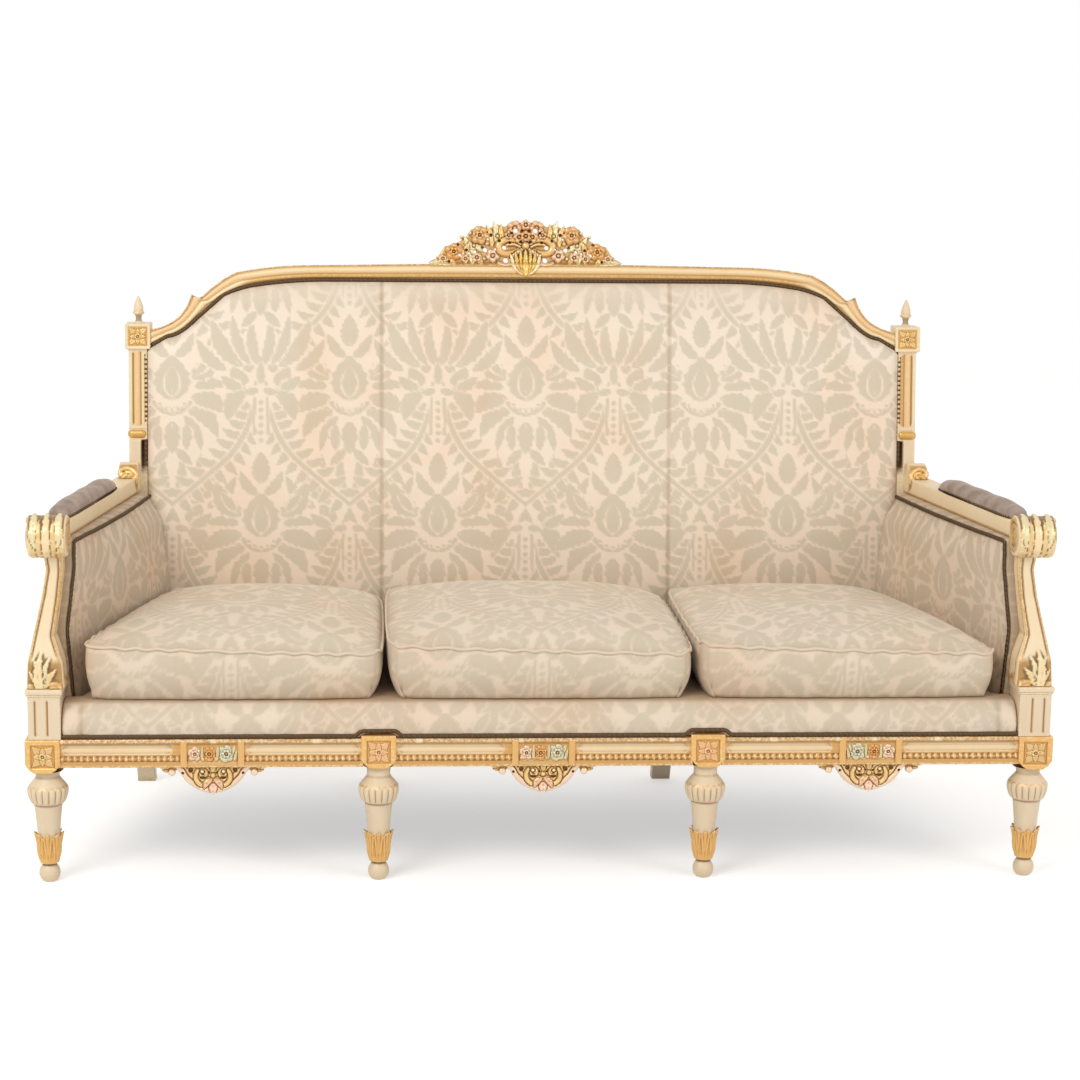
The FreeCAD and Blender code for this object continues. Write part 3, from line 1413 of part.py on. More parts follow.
arm_side = leg_outer_x.value - size.arm_inner_front_place.value - size.cushion_arm_gap.value
rear_side = stile_x.value - size.arm_inner_rear_place.value - size.cushion_arm_gap.value
joint_left = size.cushion_joint_left_inset.value - leg_inner_x.value
joint_right = leg_inner_x.value - size.cushion_joint_right_inset.value
gap = size.cushion_gap.value / 2
crown = size.cushion_crown.value
cushions = {
    "left": cushion(-arm_side, joint_left - gap, -rear_side, joint_left - gap, crown),
    "centre": cushion(joint_left + gap, joint_right - gap, joint_left + gap, joint_right - gap,
                      crown + size.centre_cushion_rise.value),
    "right": cushion(joint_right + gap, arm_side, joint_right + gap, rear_side, crown),
}
for place, shape in cushions.items():
    keep(f"seat_cushion_{place}", shaped(f"seat_cushion_{place}", shape))

doc.recompute()

# Every object has to be sound before any file is written
for item in doc.Objects:
    if "Invalid" in item.State or "Error" in item.State:
        raise RuntimeError(f"{item.Label} failed: {item.State}")
for label, item in sub_parts.items():
    shape = item.Shape
    if shape.isNull() or not shape.isValid() or not shape.Solids:
        raise RuntimeError(f"{label} has no sound solid")

os.makedirs("parts", exist_ok=True)
for label, item in sub_parts.items():
    item.Shape.exportStep(f"parts/{label}.step")
print(len(sub_parts), "sub-parts written")
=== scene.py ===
import math

import bmesh
import bpy
import numpy as np
from mathutils import Matrix, Vector


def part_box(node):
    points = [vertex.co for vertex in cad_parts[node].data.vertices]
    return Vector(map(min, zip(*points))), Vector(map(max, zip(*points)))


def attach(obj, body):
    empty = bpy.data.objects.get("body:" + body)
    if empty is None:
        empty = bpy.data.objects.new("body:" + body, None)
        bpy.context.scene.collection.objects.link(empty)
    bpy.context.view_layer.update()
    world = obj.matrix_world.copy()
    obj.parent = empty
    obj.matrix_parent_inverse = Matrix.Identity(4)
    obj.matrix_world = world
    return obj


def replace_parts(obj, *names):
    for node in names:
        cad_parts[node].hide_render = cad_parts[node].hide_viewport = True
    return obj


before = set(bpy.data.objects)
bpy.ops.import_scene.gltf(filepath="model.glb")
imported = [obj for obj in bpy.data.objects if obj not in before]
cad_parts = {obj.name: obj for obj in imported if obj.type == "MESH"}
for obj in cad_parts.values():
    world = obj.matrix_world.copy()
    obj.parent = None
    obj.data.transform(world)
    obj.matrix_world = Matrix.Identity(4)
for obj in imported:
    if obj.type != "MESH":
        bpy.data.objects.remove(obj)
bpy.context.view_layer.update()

# Front legs: four turned beech legs, each with a square block on top, painted ivory and part gilded.
# The ball foot, the leaf cup, the shaft and the lobed collar are turned and carved from one piece
# with the block. The outer two carry a fluted post and a moulded cap for the arm support.
mm = 0.001
IVORY = (0.80, 0.66, 0.47)
GOLD = (0.76, 0.45, 0.145)
BLUSH = (0.76, 0.47, 0.30)
SAGE = (0.60, 0.56, 0.36)
AMBER = (0.66, 0.34, 0.09)
BARE_WOOD = (0.62, 0.45, 0.25)


def new_node(tree, kind, **settings):
    """A shader node; settings are properties, or input values and links by input name."""
    node = tree.nodes.new("ShaderNode" + kind)
    inputs = settings.pop("inputs", {})
    for key, value in settings.items():
        setattr(node, key, value)
    for key, value in inputs.items():
        if isinstance(value, bpy.types.NodeSocket):
            tree.links.new(value, node.inputs[key])
        else:
            node.inputs[key].default_value = value
    return node


def blend_colour(tree, share, first, second, way="MIX"):
    """The colour between two colours; share, first and second are values or sockets."""
    node = new_node(tree, "Mix", data_type="RGBA", blend_type=way)
    for place, value in ((0, share), (6, first), (7, second)):
        if isinstance(value, bpy.types.NodeSocket):
            tree.links.new(value, node.inputs[place])
        elif place:
            node.inputs[place].default_value = (*value, 1.0)
        else:
            node.inputs[place].default_value = value
    return node.outputs[2]


def scaled(tree, value, low, high, new_low=0.0, new_high=1.0):
    """A value moved from one range to another, and held inside the new one."""
    node = new_node(tree, "MapRange", inputs={"Value": value, "From Min": low, "From Max": high,
                                              "To Min": new_low, "To Max": new_high})
    return node.outputs["Result"]


def clouds(tree, scale, detail=3.0, roughness=0.55, stretch=(1, 1, 1)):
    """Soft noise in the object's own space."""
    place = new_node(tree, "TexCoord").outputs["Object"]
    mapped = new_node(tree, "Mapping", inputs={"Vector": place, "Scale": stretch})
    noise = new_node(tree, "TexNoise", inputs={"Vector": mapped.outputs["Vector"], "Scale": scale,
                                               "Detail": detail, "Roughness": roughness})
    return noise.outputs["Fac"]


def attribute(tree, name, kind="Fac"):
    return new_node(tree, "Attribute", attribute_name=name).outputs[kind]


def new_material(name, **sockets):
    material = bpy.data.materials.new(name)
    material.use_nodes = True
    shader = material.node_tree.nodes["Principled BSDF"]
    for key, value in sockets.items():
        shader.inputs[key.replace("_", " ")].default_value = value
    return material, material.node_tree, shader


def roughen(tree, shader, height, strength, distance):
    """Fine bumps on a surface."""
    bump = new_node(tree, "Bump", inputs={"Strength": strength, "Distance": distance, "Height": height})
    tree.links.new(bump.outputs["Normal"], shader.inputs["Normal"])


def painted_and_gilt():
    """Old oil paint and gold leaf on a carved ground, with brown glaze and painted shade in the hollows, and wear and
    a painted highlight on the edges.
    """
    material, tree, shader = new_material("painted and gilt wood")
    gilt = attribute(tree, "gilt")
    hollow = attribute(tree, "hollow")
    worn = attribute(tree, "worn")
    fine = clouds(tree, 220.0, 4.0, 0.65)
    broad = clouds(tree, 14.0, 3.0, 0.5)
    brushed = clouds(tree, 60.0, 2.0, 0.5, (1, 1, 0.15))
    colour = attribute(tree, "colour", "Color")
    shade = blend_colour(tree, scaled(tree, broad, 0.35, 0.7, 0.0, 0.22), colour, (0.93, 0.80, 0.62),
                         "MULTIPLY")
    streaked = blend_colour(tree, scaled(tree, brushed, 0.45, 0.75, 0.0, 0.16), shade, (0.86, 0.74, 0.58),
                            "MULTIPLY")
    speckled = blend_colour(tree, scaled(tree, fine, 0.62, 0.78, 0.0, 0.35), streaked, (0.50, 0.31, 0.13))
    # Convex edges are mixed toward pale gold: wear and a painted highlight.
    edge = new_node(tree, "Math", operation="MULTIPLY", inputs={0: worn, 1: scaled(tree, fine, 0.4, 0.62)})
    rubbed_and_lit = blend_colour(tree, scaled(tree, edge.outputs[0], 0.15, 0.8, 0.0, 0.55), speckled,
                          (0.98, 0.83, 0.56))
    # Hollows are mixed toward dark brown: brown glaze and painted shade.
    glaze_and_shade = new_node(tree, "Math", operation="MULTIPLY",
                     inputs={0: scaled(tree, hollow, 0.12, 0.75, 0.0, 0.92),
                             1: scaled(tree, fine, 0.2, 0.5, 0.7, 1.0)})
    glazed_and_shaded = blend_colour(tree, glaze_and_shade.outputs[0], rubbed_and_lit, (0.22, 0.115, 0.035))
    tree.links.new(glazed_and_shaded, shader.inputs["Base Color"])
    metal = new_node(tree, "Math", operation="MULTIPLY",
                     inputs={0: gilt, 1: scaled(tree, hollow, 0.1, 0.7, 0.5, 0.1)})
    tree.links.new(metal.outputs[0], shader.inputs["Metallic"])
    gloss = new_node(tree, "Math", operation="MULTIPLY_ADD",
                     inputs={0: gilt, 1: -0.10, 2: scaled(tree, fine, 0.3, 0.7, 0.40, 0.52)})
    tree.links.new(gloss.outputs[0], shader.inputs["Roughness"])
    roughen(tree, shader, fine, 0.35, 0.0006)
    shader.inputs["Coat Weight"].default_value = 0.12
    shader.inputs["Coat Roughness"].default_value = 0.3
    return material


show_wood = painted_and_gilt()


def grid_faces(rows, columns, close_rows=False, close_columns=False, start=0):
    """Four-sided faces between the points of a grid, counted row by row."""
    row = np.arange(rows if close_rows else rows - 1)
    column = np.arange(columns if close_columns else columns - 1)
    r, c = np.meshgrid(row, column, indexing="ij")
    after_r, after_c = (r + 1) % rows, (c + 1) % columns
    corners = (r * columns + c, r * columns + after_c, after_r * columns + after_c, after_r * columns + c)
    return np.stack(corners, -1).reshape(-1, 4) + start


def surface_marks(mesh, reach):
    """How far each point lies in a hollow or on an edge, from the mean of the points around it."""
    count = len(mesh.vertices)
    points = np.empty(count * 3)
    mesh.vertices.foreach_get("co", points)
    points = points.reshape(-1, 3)
    ends = np.empty(len(mesh.edges) * 2, int)
    mesh.edges.foreach_get("vertices", ends)
    ends = ends.reshape(-1, 2)
    number = np.bincount(ends.ravel(), minlength=count).clip(1)[:, None]

    def around(values):
        total = np.zeros_like(values)
        np.add.at(total, ends[:, 0], values[ends[:, 1]])
        np.add.at(total, ends[:, 1], values[ends[:, 0]])
        return total / number

    normals = np.array([vertex.normal for vertex in mesh.vertices])
    smooth = points
    for _ in range(4):
        smooth = around(smooth)
    depth = ((smooth - points) * normals).sum(1, keepdims=True)
    for _ in range(2):
        depth = around(depth) * 0.5 + depth * 0.5
    return (depth[:, 0] / reach).clip(0, 1), (-depth[:, 0] / reach).clip(0, 1)


def new_mesh(name, points, faces):
    """A smooth mesh from points and faces, with every face turned outwards."""
    mesh = bpy.data.meshes.new(name)
    mesh.from_pydata(np.asarray(points, float).tolist(), [], [list(map(int, face)) for face in faces])
    turned = bmesh.new()
    turned.from_mesh(mesh)
    bmesh.ops.recalc_face_normals(turned, faces=turned.faces)
    turned.to_mesh(mesh)
    turned.free()
    mesh.polygons.foreach_set("use_smooth", [True] * len(mesh.polygons))
    return mesh


def plain_piece(name, points, faces, material, slot, body="frame"):
    """A piece of one material from points and faces."""
    mesh = new_mesh(name, points, faces)
    mesh.materials.append(material)
    piece = bpy.data.objects.new(name, mesh)
    bpy.context.collection.objects.link(piece)
    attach(piece, body)
    return piece


def carved(name, points, faces, colour, gilt, reach=1.6 * mm, slot="cream_paint"):
    """A painted and gilded piece: points and faces, with a colour and a gilding share for each point."""
    piece = plain_piece(name, points, faces, show_wood, slot)
    mesh = piece.data
    count = len(mesh.vertices)
    hollow, worn = surface_marks(mesh, reach)
    for title, values in (("gilt", np.broadcast_to(gilt, count)), ("hollow", hollow), ("worn", worn)):
        values = np.ascontiguousarray(values, float)
        mesh.attributes.new(title, "FLOAT", "POINT").data.foreach_set("value", values)
    paint = np.ones((count, 4))
    paint[:, :3] = colour
    mesh.attributes.new("colour", "FLOAT_COLOR", "POINT").data.foreach_set("color", paint.ravel())
    return piece


def step_up(value, low, high):
    """0 below low, 1 above high, and a smooth rise between."""
    share = np.clip((value - low) / (high - low), 0, 1)
    return share * share * (3 - 2 * share)


def joined(*parts):
    """Several sets of points, faces, colours and gilding as one set."""
    points, faces, colours, gilts = [], [], [], []
    start = 0
    for part_points, part_faces, colour, gilt in parts:
        count = len(part_points)
        points.append(part_points)
        faces.extend((np.asarray(face) + start).tolist() for face in part_faces)
        colours.append(np.broadcast_to(colour, (count, 3)))
        gilts.append(np.broadcast_to(gilt, count))
        start += count
    return np.concatenate(points), faces, np.concatenate(colours), np.concatenate(gilts)


def tinted(share, first, second):
    """Colours between two paints, point by point."""
    share = np.asarray(share, float)[..., None]
    return np.asarray(first) * (1 - share) + np.asarray(second) * share


def rounded_block(low, high, radius=1.5 * mm, pitch=2.5 * mm):
    """The points and faces of a block with softly rounded edges."""
    low, high = np.array(low, float), np.array(high, float)
    middle, half = (low + high) / 2, (high - low) / 2
    points, faces, start = [], [], 0
    for axis in range(3):
        u, v = (axis + 1) % 3, (axis + 2) % 3
        steps_u = max(3, int(2 * half[u] / pitch) + 2)
        steps_v = max(3, int(2 * half[v] / pitch) + 2)
        for side in (-1, 1):
            grid = np.zeros((steps_u, steps_v, 3))
            grid[..., u] = np.linspace(-half[u], half[u], steps_u)[:, None]
            grid[..., v] = np.linspace(-half[v], half[v], steps_v)[None, :] * side
            grid[..., axis] = half[axis] * side
            points.append(grid.reshape(-1, 3))
            faces.append(grid_faces(steps_u, steps_v, start=start))
            start += steps_u * steps_v
    points, faces = np.concatenate(points), np.concatenate(faces)
    inner = np.clip(points, -(half - radius), half - radius)
    away = points - inner
    length = np.linalg.norm(away, axis=1, keepdims=True).clip(1e-9)
    points = inner + away / length * radius
    _, first, back = np.unique(np.round(points / 1e-6), axis=0, return_index=True, return_inverse=True)
    return points[first] + middle, back.reshape(-1)[faces]


LOBES = 18
CUP_LEAVES = 8
CUP, COLLAR = 1, 3


def turned_leg(centre, top):
    """The turning under a block: ball foot, leaf cup, shaft, lobed collar and neck."""
    sides = 144
    angle = np.linspace(0, 2 * math.pi, sides, endpoint=False)[None, :]
    foot = [(0.3, 0), (10, 0), (14.5, 2.2), (18.4, 7.5), (20.3, 15), (19.6, 22), (16.8, 28.5), (13.6, 33),
            (13, 36)]
    cup = [(17.5, 37), (18.6, 41), (20.2, 48), (21.6, 57), (22.6, 66), (23.2, 75), (23.8, 82), (24.8, 88),
           (26.2, 92.5), (25.6, 93.6), (23.2, 91), (21.6, 86)]
    shaft = [(21.4, 88), (21.6, 98), (22.6, 114), (24.2, 130), (25.7, 144), (26.8, 152), (27.4, 154.5)]
    collar = [(30.4, 155.2), (32.4, 157.5), (33.9, 161), (35.6, 165.5), (37.0, 170.5), (37.9, 175.5),
              (38.3, 180.5), (37.6, 185), (35.4, 189.5), (32.0, 194), (28.6, 198), (25.6, 201.5),
              (23.4, 204.5), (22.4, 207)]
    neck = [(22.3, top - 9), (23.0, top - 5.5), (25.0, top - 2.5), (28.5, top - 0.6), (30, top + 1)]
    turnings = (foot, cup, shaft, collar, neck)
    profile = np.concatenate(turnings)
    zones = np.repeat(range(5), [len(turning) for turning in turnings])
    fine = [0]
    for index in range(1, len(profile)):
        length = np.hypot(*(profile[index] - profile[index - 1]))
        fine += [index - 1 + share for share in np.linspace(0, 1, max(2, int(length / 1.7) + 1))[1:]]
    place = np.array(fine)
    radius = np.interp(place, range(len(profile)), profile[:, 0])[:, None] * np.ones_like(angle)
    height = np.interp(place, range(len(profile)), profile[:, 1])[:, None] * np.ones_like(angle)
    zone = zones[np.round(place).astype(int).clip(0, len(zones) - 1)][:, None] * np.ones_like(angle)

    lobe = np.abs(np.sin(angle * LOBES / 2))
    arch_top = 184.5 + 5.0 * lobe ** 0.7
    on_lobes = (zone == COLLAR) * step_up(height, 155.5, 159)
    on_lobes = on_lobes * (1 - step_up(height, arch_top - 1.5, arch_top + 0.8))
    radius = radius + on_lobes * (lobe ** 0.55 - 0.72) * 3.2
    line = np.exp(-((height - arch_top) / 1.4) ** 2) * (zone == COLLAR)
    groove = on_lobes * (1 - step_up(lobe, 0.16, 0.42))

    leaf = np.abs(np.cos(angle * CUP_LEAVES / 2))
    in_cup = zone == CUP
    up = np.clip((height - 37) / 56, 0, 1)
    radius = radius + in_cup * (leaf ** 2 - 0.45) * (1.2 + 2.6 * up ** 3)
    height = height + in_cup * up ** 4 * (leaf ** 1.5 * 8 - 4)
    vein = np.abs(((angle * CUP_LEAVES / math.pi) % 2) - 1)
    ribs = np.cos(vein * 9 + up * 5) * in_cup * step_up(up, 0.05, 0.3)
    radius = radius + ribs * 1.3 - in_cup * np.exp(-((vein - 1) / 0.10) ** 2) * 1.1

    gilt = np.clip(in_cup + line * 0.9 + groove * 0.9, 0, 1)
    colour = tinted(gilt, IVORY, GOLD)
    blush = (zone == COLLAR) * (1 - step_up(height, 155, 160))
    colour = tinted(blush * 0.8, colour, BLUSH)
    points = np.stack([np.cos(angle) * radius, np.sin(angle) * radius, height], -1).reshape(-1, 3) * mm
    points += np.array([centre[0], centre[1], 0])
    rows = len(place)
    faces = grid_faces(rows, sides, close_columns=True).tolist()
    faces.append(list(range(sides))[::-1])
    return points, faces, colour.reshape(-1, 3), gilt.reshape(-1)


def die(low, high, tile, paint=GOLD, gilding=1.0, ease=9 * mm):
    """A block whose front is sunk for a carved tile, with its lower corners eased."""
    points, faces = rounded_block(low, high, 2.2 * mm, 2.0 * mm)
    middle_x, middle_z = (low[0] + high[0]) / 2, (low[2] + high[2]) / 2
    inside = np.maximum(abs(points[:, 0] - middle_x), abs(points[:, 2] - middle_z)) / mm
    on_front = points[:, 1] < low[1] + 3 * mm
    sunk = on_front * (1 - step_up(inside, tile / 2 - 1.2, tile / 2 + 0.6))
    rim = on_front * np.exp(-((inside - tile / 2 - 5) / 2.6) ** 2)
    points[:, 1] += (sunk * 4.2 + on_front * (1 - rim) * 0.7) * mm
    half = (high[0] - low[0]) / 2
    corner = (abs(points[:, 0] - middle_x) - (half - ease)) + ((low[2] + ease) - points[:, 2])
    eased = np.clip(corner, 0, None)
    points[:, 0] -= np.sign(points[:, 0] - middle_x) * eased * 0.42
    points[:, 2] += eased * 0.42
    return points, faces.tolist(), paint, gilding


def corner_post(low, high, outward, flutes):
    """The plain post over an outer block, with thin gilded flutes on its front."""
    points, faces = rounded_block(low, high, 1.4 * mm, 2.2 * mm)
    middle_x = (low[0] + high[0]) / 2
    cut = np.zeros(len(points))
    for place in flutes:
        across = np.abs(points[:, 0] - middle_x - place * outward * mm) / mm
        ends = step_up(points[:, 2] / mm, low[2] / mm + 6, low[2] / mm + 9)
        ends *= 1 - step_up(points[:, 2] / mm, high[2] / mm - 12, high[2] / mm - 9)
        cut = np.maximum(cut, (1 - step_up(across, 0.8, 2.6)) * ends * (points[:, 1] < low[1] + 2 * mm))
    points[:, 1] += cut * 2.4 * mm
    return points, faces.tolist(), tinted(cut, IVORY, AMBER), cut * 0.8


FLUTES = (17.0, -6.0)
TILE = 45.0
LEG_PITCH, LEG_SET_BACK = 626.7, 33
BLOCK_HALF, BLOCK_DEPTH, BLOCK_SHIFT = 33, 80, 4.6
OUTER_BLOCK, INNER_BLOCK = (218, 283.6), (225, 290)
POST_HALF, POST_SET_BACK, POST_DEPTH, POST_TOP = 30.5, 2, 75, 369.5
front_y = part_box("die_rosettes")[0][1]
for leg_name in ("outer_left", "inner_left", "inner_right", "outer_right"):
    low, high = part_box(f"front_leg_{leg_name}")
    outer = leg_name.startswith("outer")
    outward = 1 if leg_name.endswith("right") else -1
    centre_x = outward * LEG_PITCH * mm * (1.5 if outer else 0.5)
    centre = (centre_x, front_y + LEG_SET_BACK * mm)
    block_bottom = (OUTER_BLOCK if outer else INNER_BLOCK)[0] * mm
    block_top = OUTER_BLOCK[1] * mm if outer else high[2]
    block_x = centre_x + (BLOCK_SHIFT * mm * outward if outer else 0)
    block = die((block_x - BLOCK_HALF * mm, front_y, block_bottom),
                (block_x + BLOCK_HALF * mm, front_y + BLOCK_DEPTH * mm, block_top), TILE)
    parts = [turned_leg(centre, block_bottom / mm), block]
    if outer:
        post_low = (centre_x - POST_HALF * mm, front_y + POST_SET_BACK * mm, block_top)
        post_high = (centre_x + POST_HALF * mm, front_y + (POST_SET_BACK + POST_DEPTH) * mm, POST_TOP * mm)
        parts.append(corner_post(post_low, post_high, outward, FLUTES))
        for grow, bottom, top in ((0.6, 363, 367.5), (2.2, 367, 371.5), (4.0, 371, 381)):
            plate = rounded_block((post_low[0] - grow * mm, post_low[1] - grow * mm, bottom * mm),
                                  (post_high[0] + grow * mm, post_high[1], top * mm), 1.8 * mm, 3 * mm)
            parts.append((*plate, IVORY, 0.0))
    leg = carved(f"leg_{leg_name}", *joined(*parts), reach=1.1 * mm)
    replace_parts(leg, f"front_leg_{leg_name}")


# Carved tiles: five-petalled flowers and leaves cut in small squares of lime wood, gilded,
# and glued into the sunk fronts of the leg blocks and of the two blocks at the ends of the crest.
class Relief:
    """A carving seen from the front: how far each point lies inside it, its height and its paint."""

    def __init__(self, x, z):
        self.x, self.z = x, z
        self.inside = np.full(x.shape, -50.0)
        self.height = np.zeros(x.shape)
        self.colour = np.zeros(x.shape + (3,)) + np.array(GOLD)

    def lay(self, inside, height, colour=GOLD, cut_round=1.2):
        """Lay one form over what is there; a thin line is cut round it."""
        over = inside > -cut_round
        sunk = np.where(inside > 0, height, np.minimum(self.height, height) - 1.0)
        laid = np.where(inside > 0, np.maximum(sunk, self.height * 0.3), sunk)
        self.height = np.where(over, laid, self.height)
        self.inside = np.maximum(self.inside, inside)
        self.colour = np.where((inside > 0)[..., None], np.array(colour), self.colour)

    def ball(self, x, z, radius, height, colour=GOLD):
        """A round dome."""
        away = np.hypot(self.x - x, self.z - z)
        dome = np.sqrt(np.clip(1 - (away / radius) ** 2, 0, 1))
        self.lay(radius - away, height * (0.35 + 0.65 * dome), colour)

    def pierce(self, x, z, radius):
        """A hole right through."""
        away = np.hypot(self.x - x, self.z - z)
        self.inside = np.minimum(self.inside, away - radius)

    def leaf(self, start, finish, width, height, colour=GOLD, bend=0.0, teeth=0, veins=3, blunt=0.75):
        """A leaf from its stalk to its tip, with a bent spine, a hollow midrib and toothed sides."""
        run, rise = finish[0] - start[0], finish[1] - start[1]
        length = math.hypot(run, rise)
        along_x, along_z = run / length, rise / length
        dx, dz = self.x - start[0], self.z - start[1]
        along = (dx * along_x + dz * along_z) / length
        across = -dx * along_z + dz * along_x - bend * length * np.sin(np.clip(along, 0, 1) * math.pi)
        share = np.clip(along, 0, 1)
        half = width * np.sin(np.clip(share, 1e-3, 1) ** blunt * math.pi) ** 0.75
        if teeth:
            half = half * (1 - 0.22 * np.abs(np.sin(share * math.pi * teeth)))
        past = np.maximum(np.maximum(-along, along - 1), 0) * length
        inside = half - np.abs(across) - past * 2
        from_rib = np.clip(np.abs(across) / np.maximum(half, 0.3), 0, 1)
        swell = np.sqrt(np.clip(1 - from_rib ** 2, 0, 1))
        rib = np.exp(-(across / (width * 0.14)) ** 2)
        cuts = 0.5 + 0.5 * np.cos((share * veins * 2 - from_rib * 1.2) * math.pi) if veins else 0.5
        body = height * (0.35 + 0.55 * swell * (0.75 + 0.25 * cuts) - 0.22 * rib + 0.22 * share)
        self.lay(inside, body, colour)

    def flower(self, x, z, radius, height, petals=5, colour=GOLD, heart=AMBER, turn=0.0):
        """Round petals about a seeded heart."""
        angle = np.arctan2(self.z - z, self.x - x) - turn
        away = np.hypot(self.x - x, self.z - z)
        lobe = np.abs(np.cos(angle * petals / 2))
        edge = radius * (0.72 + 0.28 * lobe ** 0.6)
        share = np.clip(away / edge, 0, 1)
        dish = 0.45 + 0.55 * np.sin(share * math.pi * 0.85) * (0.45 + 0.55 * lobe)
        self.lay(edge - away, height * dish, colour)
        self.ball(x, z, radius * 0.27, height * 1.05, heart)


def cells_inside(relief, reach):
    """The cells inside an outline, with their outer points drawn in to it, and the points they use."""
    keep_point = relief.inside > 0
    cell = keep_point[:-1, :-1] | keep_point[1:, :-1] | keep_point[:-1, 1:] | keep_point[1:, 1:]
    slope_z, slope_x = np.gradient(relief.inside, relief.z[1, 0] - relief.z[0, 0],
                                   relief.x[0, 1] - relief.x[0, 0])
    steep = np.maximum(slope_x ** 2 + slope_z ** 2, 0.25)
    short = np.clip(-relief.inside, 0, reach) * ~keep_point
    used, numbered = np.unique(grid_faces(*relief.x.shape)[cell.ravel()], return_inverse=True)
    x = (relief.x + slope_x / steep * short).ravel()[used]
    z = (relief.z + slope_z / steep * short).ravel()[used]
    return x, z, used, numbered.reshape(-1, 4), keep_point


def relief_mesh(relief, place, back):
    """A carving as a closed piece with a plain back."""
    x, z, used, faces, keep_point = cells_inside(relief, (relief.x[0, 1] - relief.x[0, 0]) * 1.2)
    height = np.where(keep_point, relief.height, np.minimum(relief.height, 0.2)).clip(0.1)
    face_up = place(x, z, height.ravel()[used])
    behind = place(x, z, np.full(len(used), -back))
    count = len(used)
    edges = np.concatenate([faces[:, [0, 1]], faces[:, [1, 2]], faces[:, [2, 3]], faces[:, [3, 0]]])
    known = {(a, b) for a, b in edges.tolist()}
    walls = [[a, a + count, b + count, b] for a, b in known if (b, a) not in known]
    colour = relief.colour.reshape(-1, 3)[used]
    points = np.concatenate([face_up, behind])
    all_faces = faces[:, ::-1].tolist() + (faces + count).tolist() + walls
    plain = np.broadcast_to(BARE_WOOD, colour.shape)
    return points, all_faces, np.concatenate([colour, plain]), 1.0


def field(width, height, pitch, low=None):
    """A level grid of points, in millimetres, for a carving of this size."""
    bottom = -height / 2 if low is None else low
    x = np.arange(-width / 2 - pitch, width / 2 + pitch * 1.5, pitch)
    z = np.arange(bottom - pitch, bottom + height + pitch * 1.5, pitch)
    grid = np.meshgrid(x, z)
    return Relief(grid[0], grid[1])


def rosette(size, colour):
    """A square flower: four notched leaves to the corners and four petals between them."""
    relief = field(size, size, 0.75)
    half = size / 2
    square = half - np.maximum(abs(relief.x), abs(relief.z))
    relief.lay(square, np.full(relief.x.shape, 0.5), AMBER)
    for quarter in range(4):
        turn = math.pi / 4 + quarter * math.pi / 2
        tip = (math.cos(turn) * half * 1.22, math.sin(turn) * half * 1.22)
        relief.leaf((math.cos(turn) * 2, math.sin(turn) * 2), tip, half * 0.42, 4.0, colour, teeth=4, veins=4)
    for quarter in range(4):
        turn = quarter * math.pi / 2
        tip = (math.cos(turn) * half * 0.86, math.sin(turn) * half * 0.86)
        relief.leaf((math.cos(turn) * 1.5, math.sin(turn) * 1.5), tip, half * 0.24, 4.6, colour, veins=2)
    relief.flower(0, 0, half * 0.36, 5.2, 5, colour, AMBER)
    relief.inside = np.minimum(relief.inside, square)
    return relief


FLOWER_PAINT = {"outer": tuple(tinted(0.35, GOLD, SAGE)), "inner": tuple(tinted(0.55, GOLD, BLUSH))}
tiles = []
for side in (-1, 1):
    for name in ("outer", "inner"):
        pitch_x = LEG_PITCH * mm
        x = side * (pitch_x * 1.5 + BLOCK_SHIFT * mm if name == "outer" else pitch_x * 0.5)
        z = sum(OUTER_BLOCK if name == "outer" else INNER_BLOCK) / 2 * mm

        def on_block(a, b, h):
            return np.stack([x + a * mm, front_y + (3.6 - h * 0.75) * mm, z + b * mm], 1)

        tiles.append(relief_mesh(rosette(43, FLOWER_PAINT[name]), on_block, 0.2))
rosettes = carved("die_rosettes_carved", *joined(*tiles), reach=1.0 * mm, slot="gilt_carving")
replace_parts(rosettes, "die_rosettes")


# Front rails: three beech rails tenoned between the leg blocks. Each is moulded with a gilded
# fillet, a painted hollow with rounded ends, and a carved and gilded string of beads and leaves.
def boarded(x, z, forward, low, high):
    """A board whose front is a grid of points; forward is how far each stands out, in metres."""
    rows, columns = x.shape
    front = np.stack([x, low[1] - forward, z], -1).reshape(-1, 3)
    faces = grid_faces(rows, columns)[:, ::-1].tolist()
    number = np.arange(rows * columns).reshape(rows, columns)
    ring = np.concatenate([number[0, :], number[1:, -1], number[-1, -2::-1], number[-2:0:-1, 0]])
    back = front[ring] * (1, 0, 1) + (0, high[1], 0)
    count = rows * columns
    after = np.roll(np.arange(len(ring)), -1)
    walls = [[ring[i], ring[after[i]], count + after[i], count + i] for i in range(len(ring))]
    faces += walls + [list(range(count, count + len(ring)))[::-1]]
    return np.concatenate([front, back]), faces, ring


def end_gap(x, z, low_x, high_x, middle_z, half, gap_low, gap_high):
    """How far inside a long field with round ends each point lies."""
    left = low_x + gap_low + half
    right = high_x - gap_high - half
    along = np.maximum(np.maximum(left - x, x - right), 0)
    return half - np.hypot(along, z - middle_z)


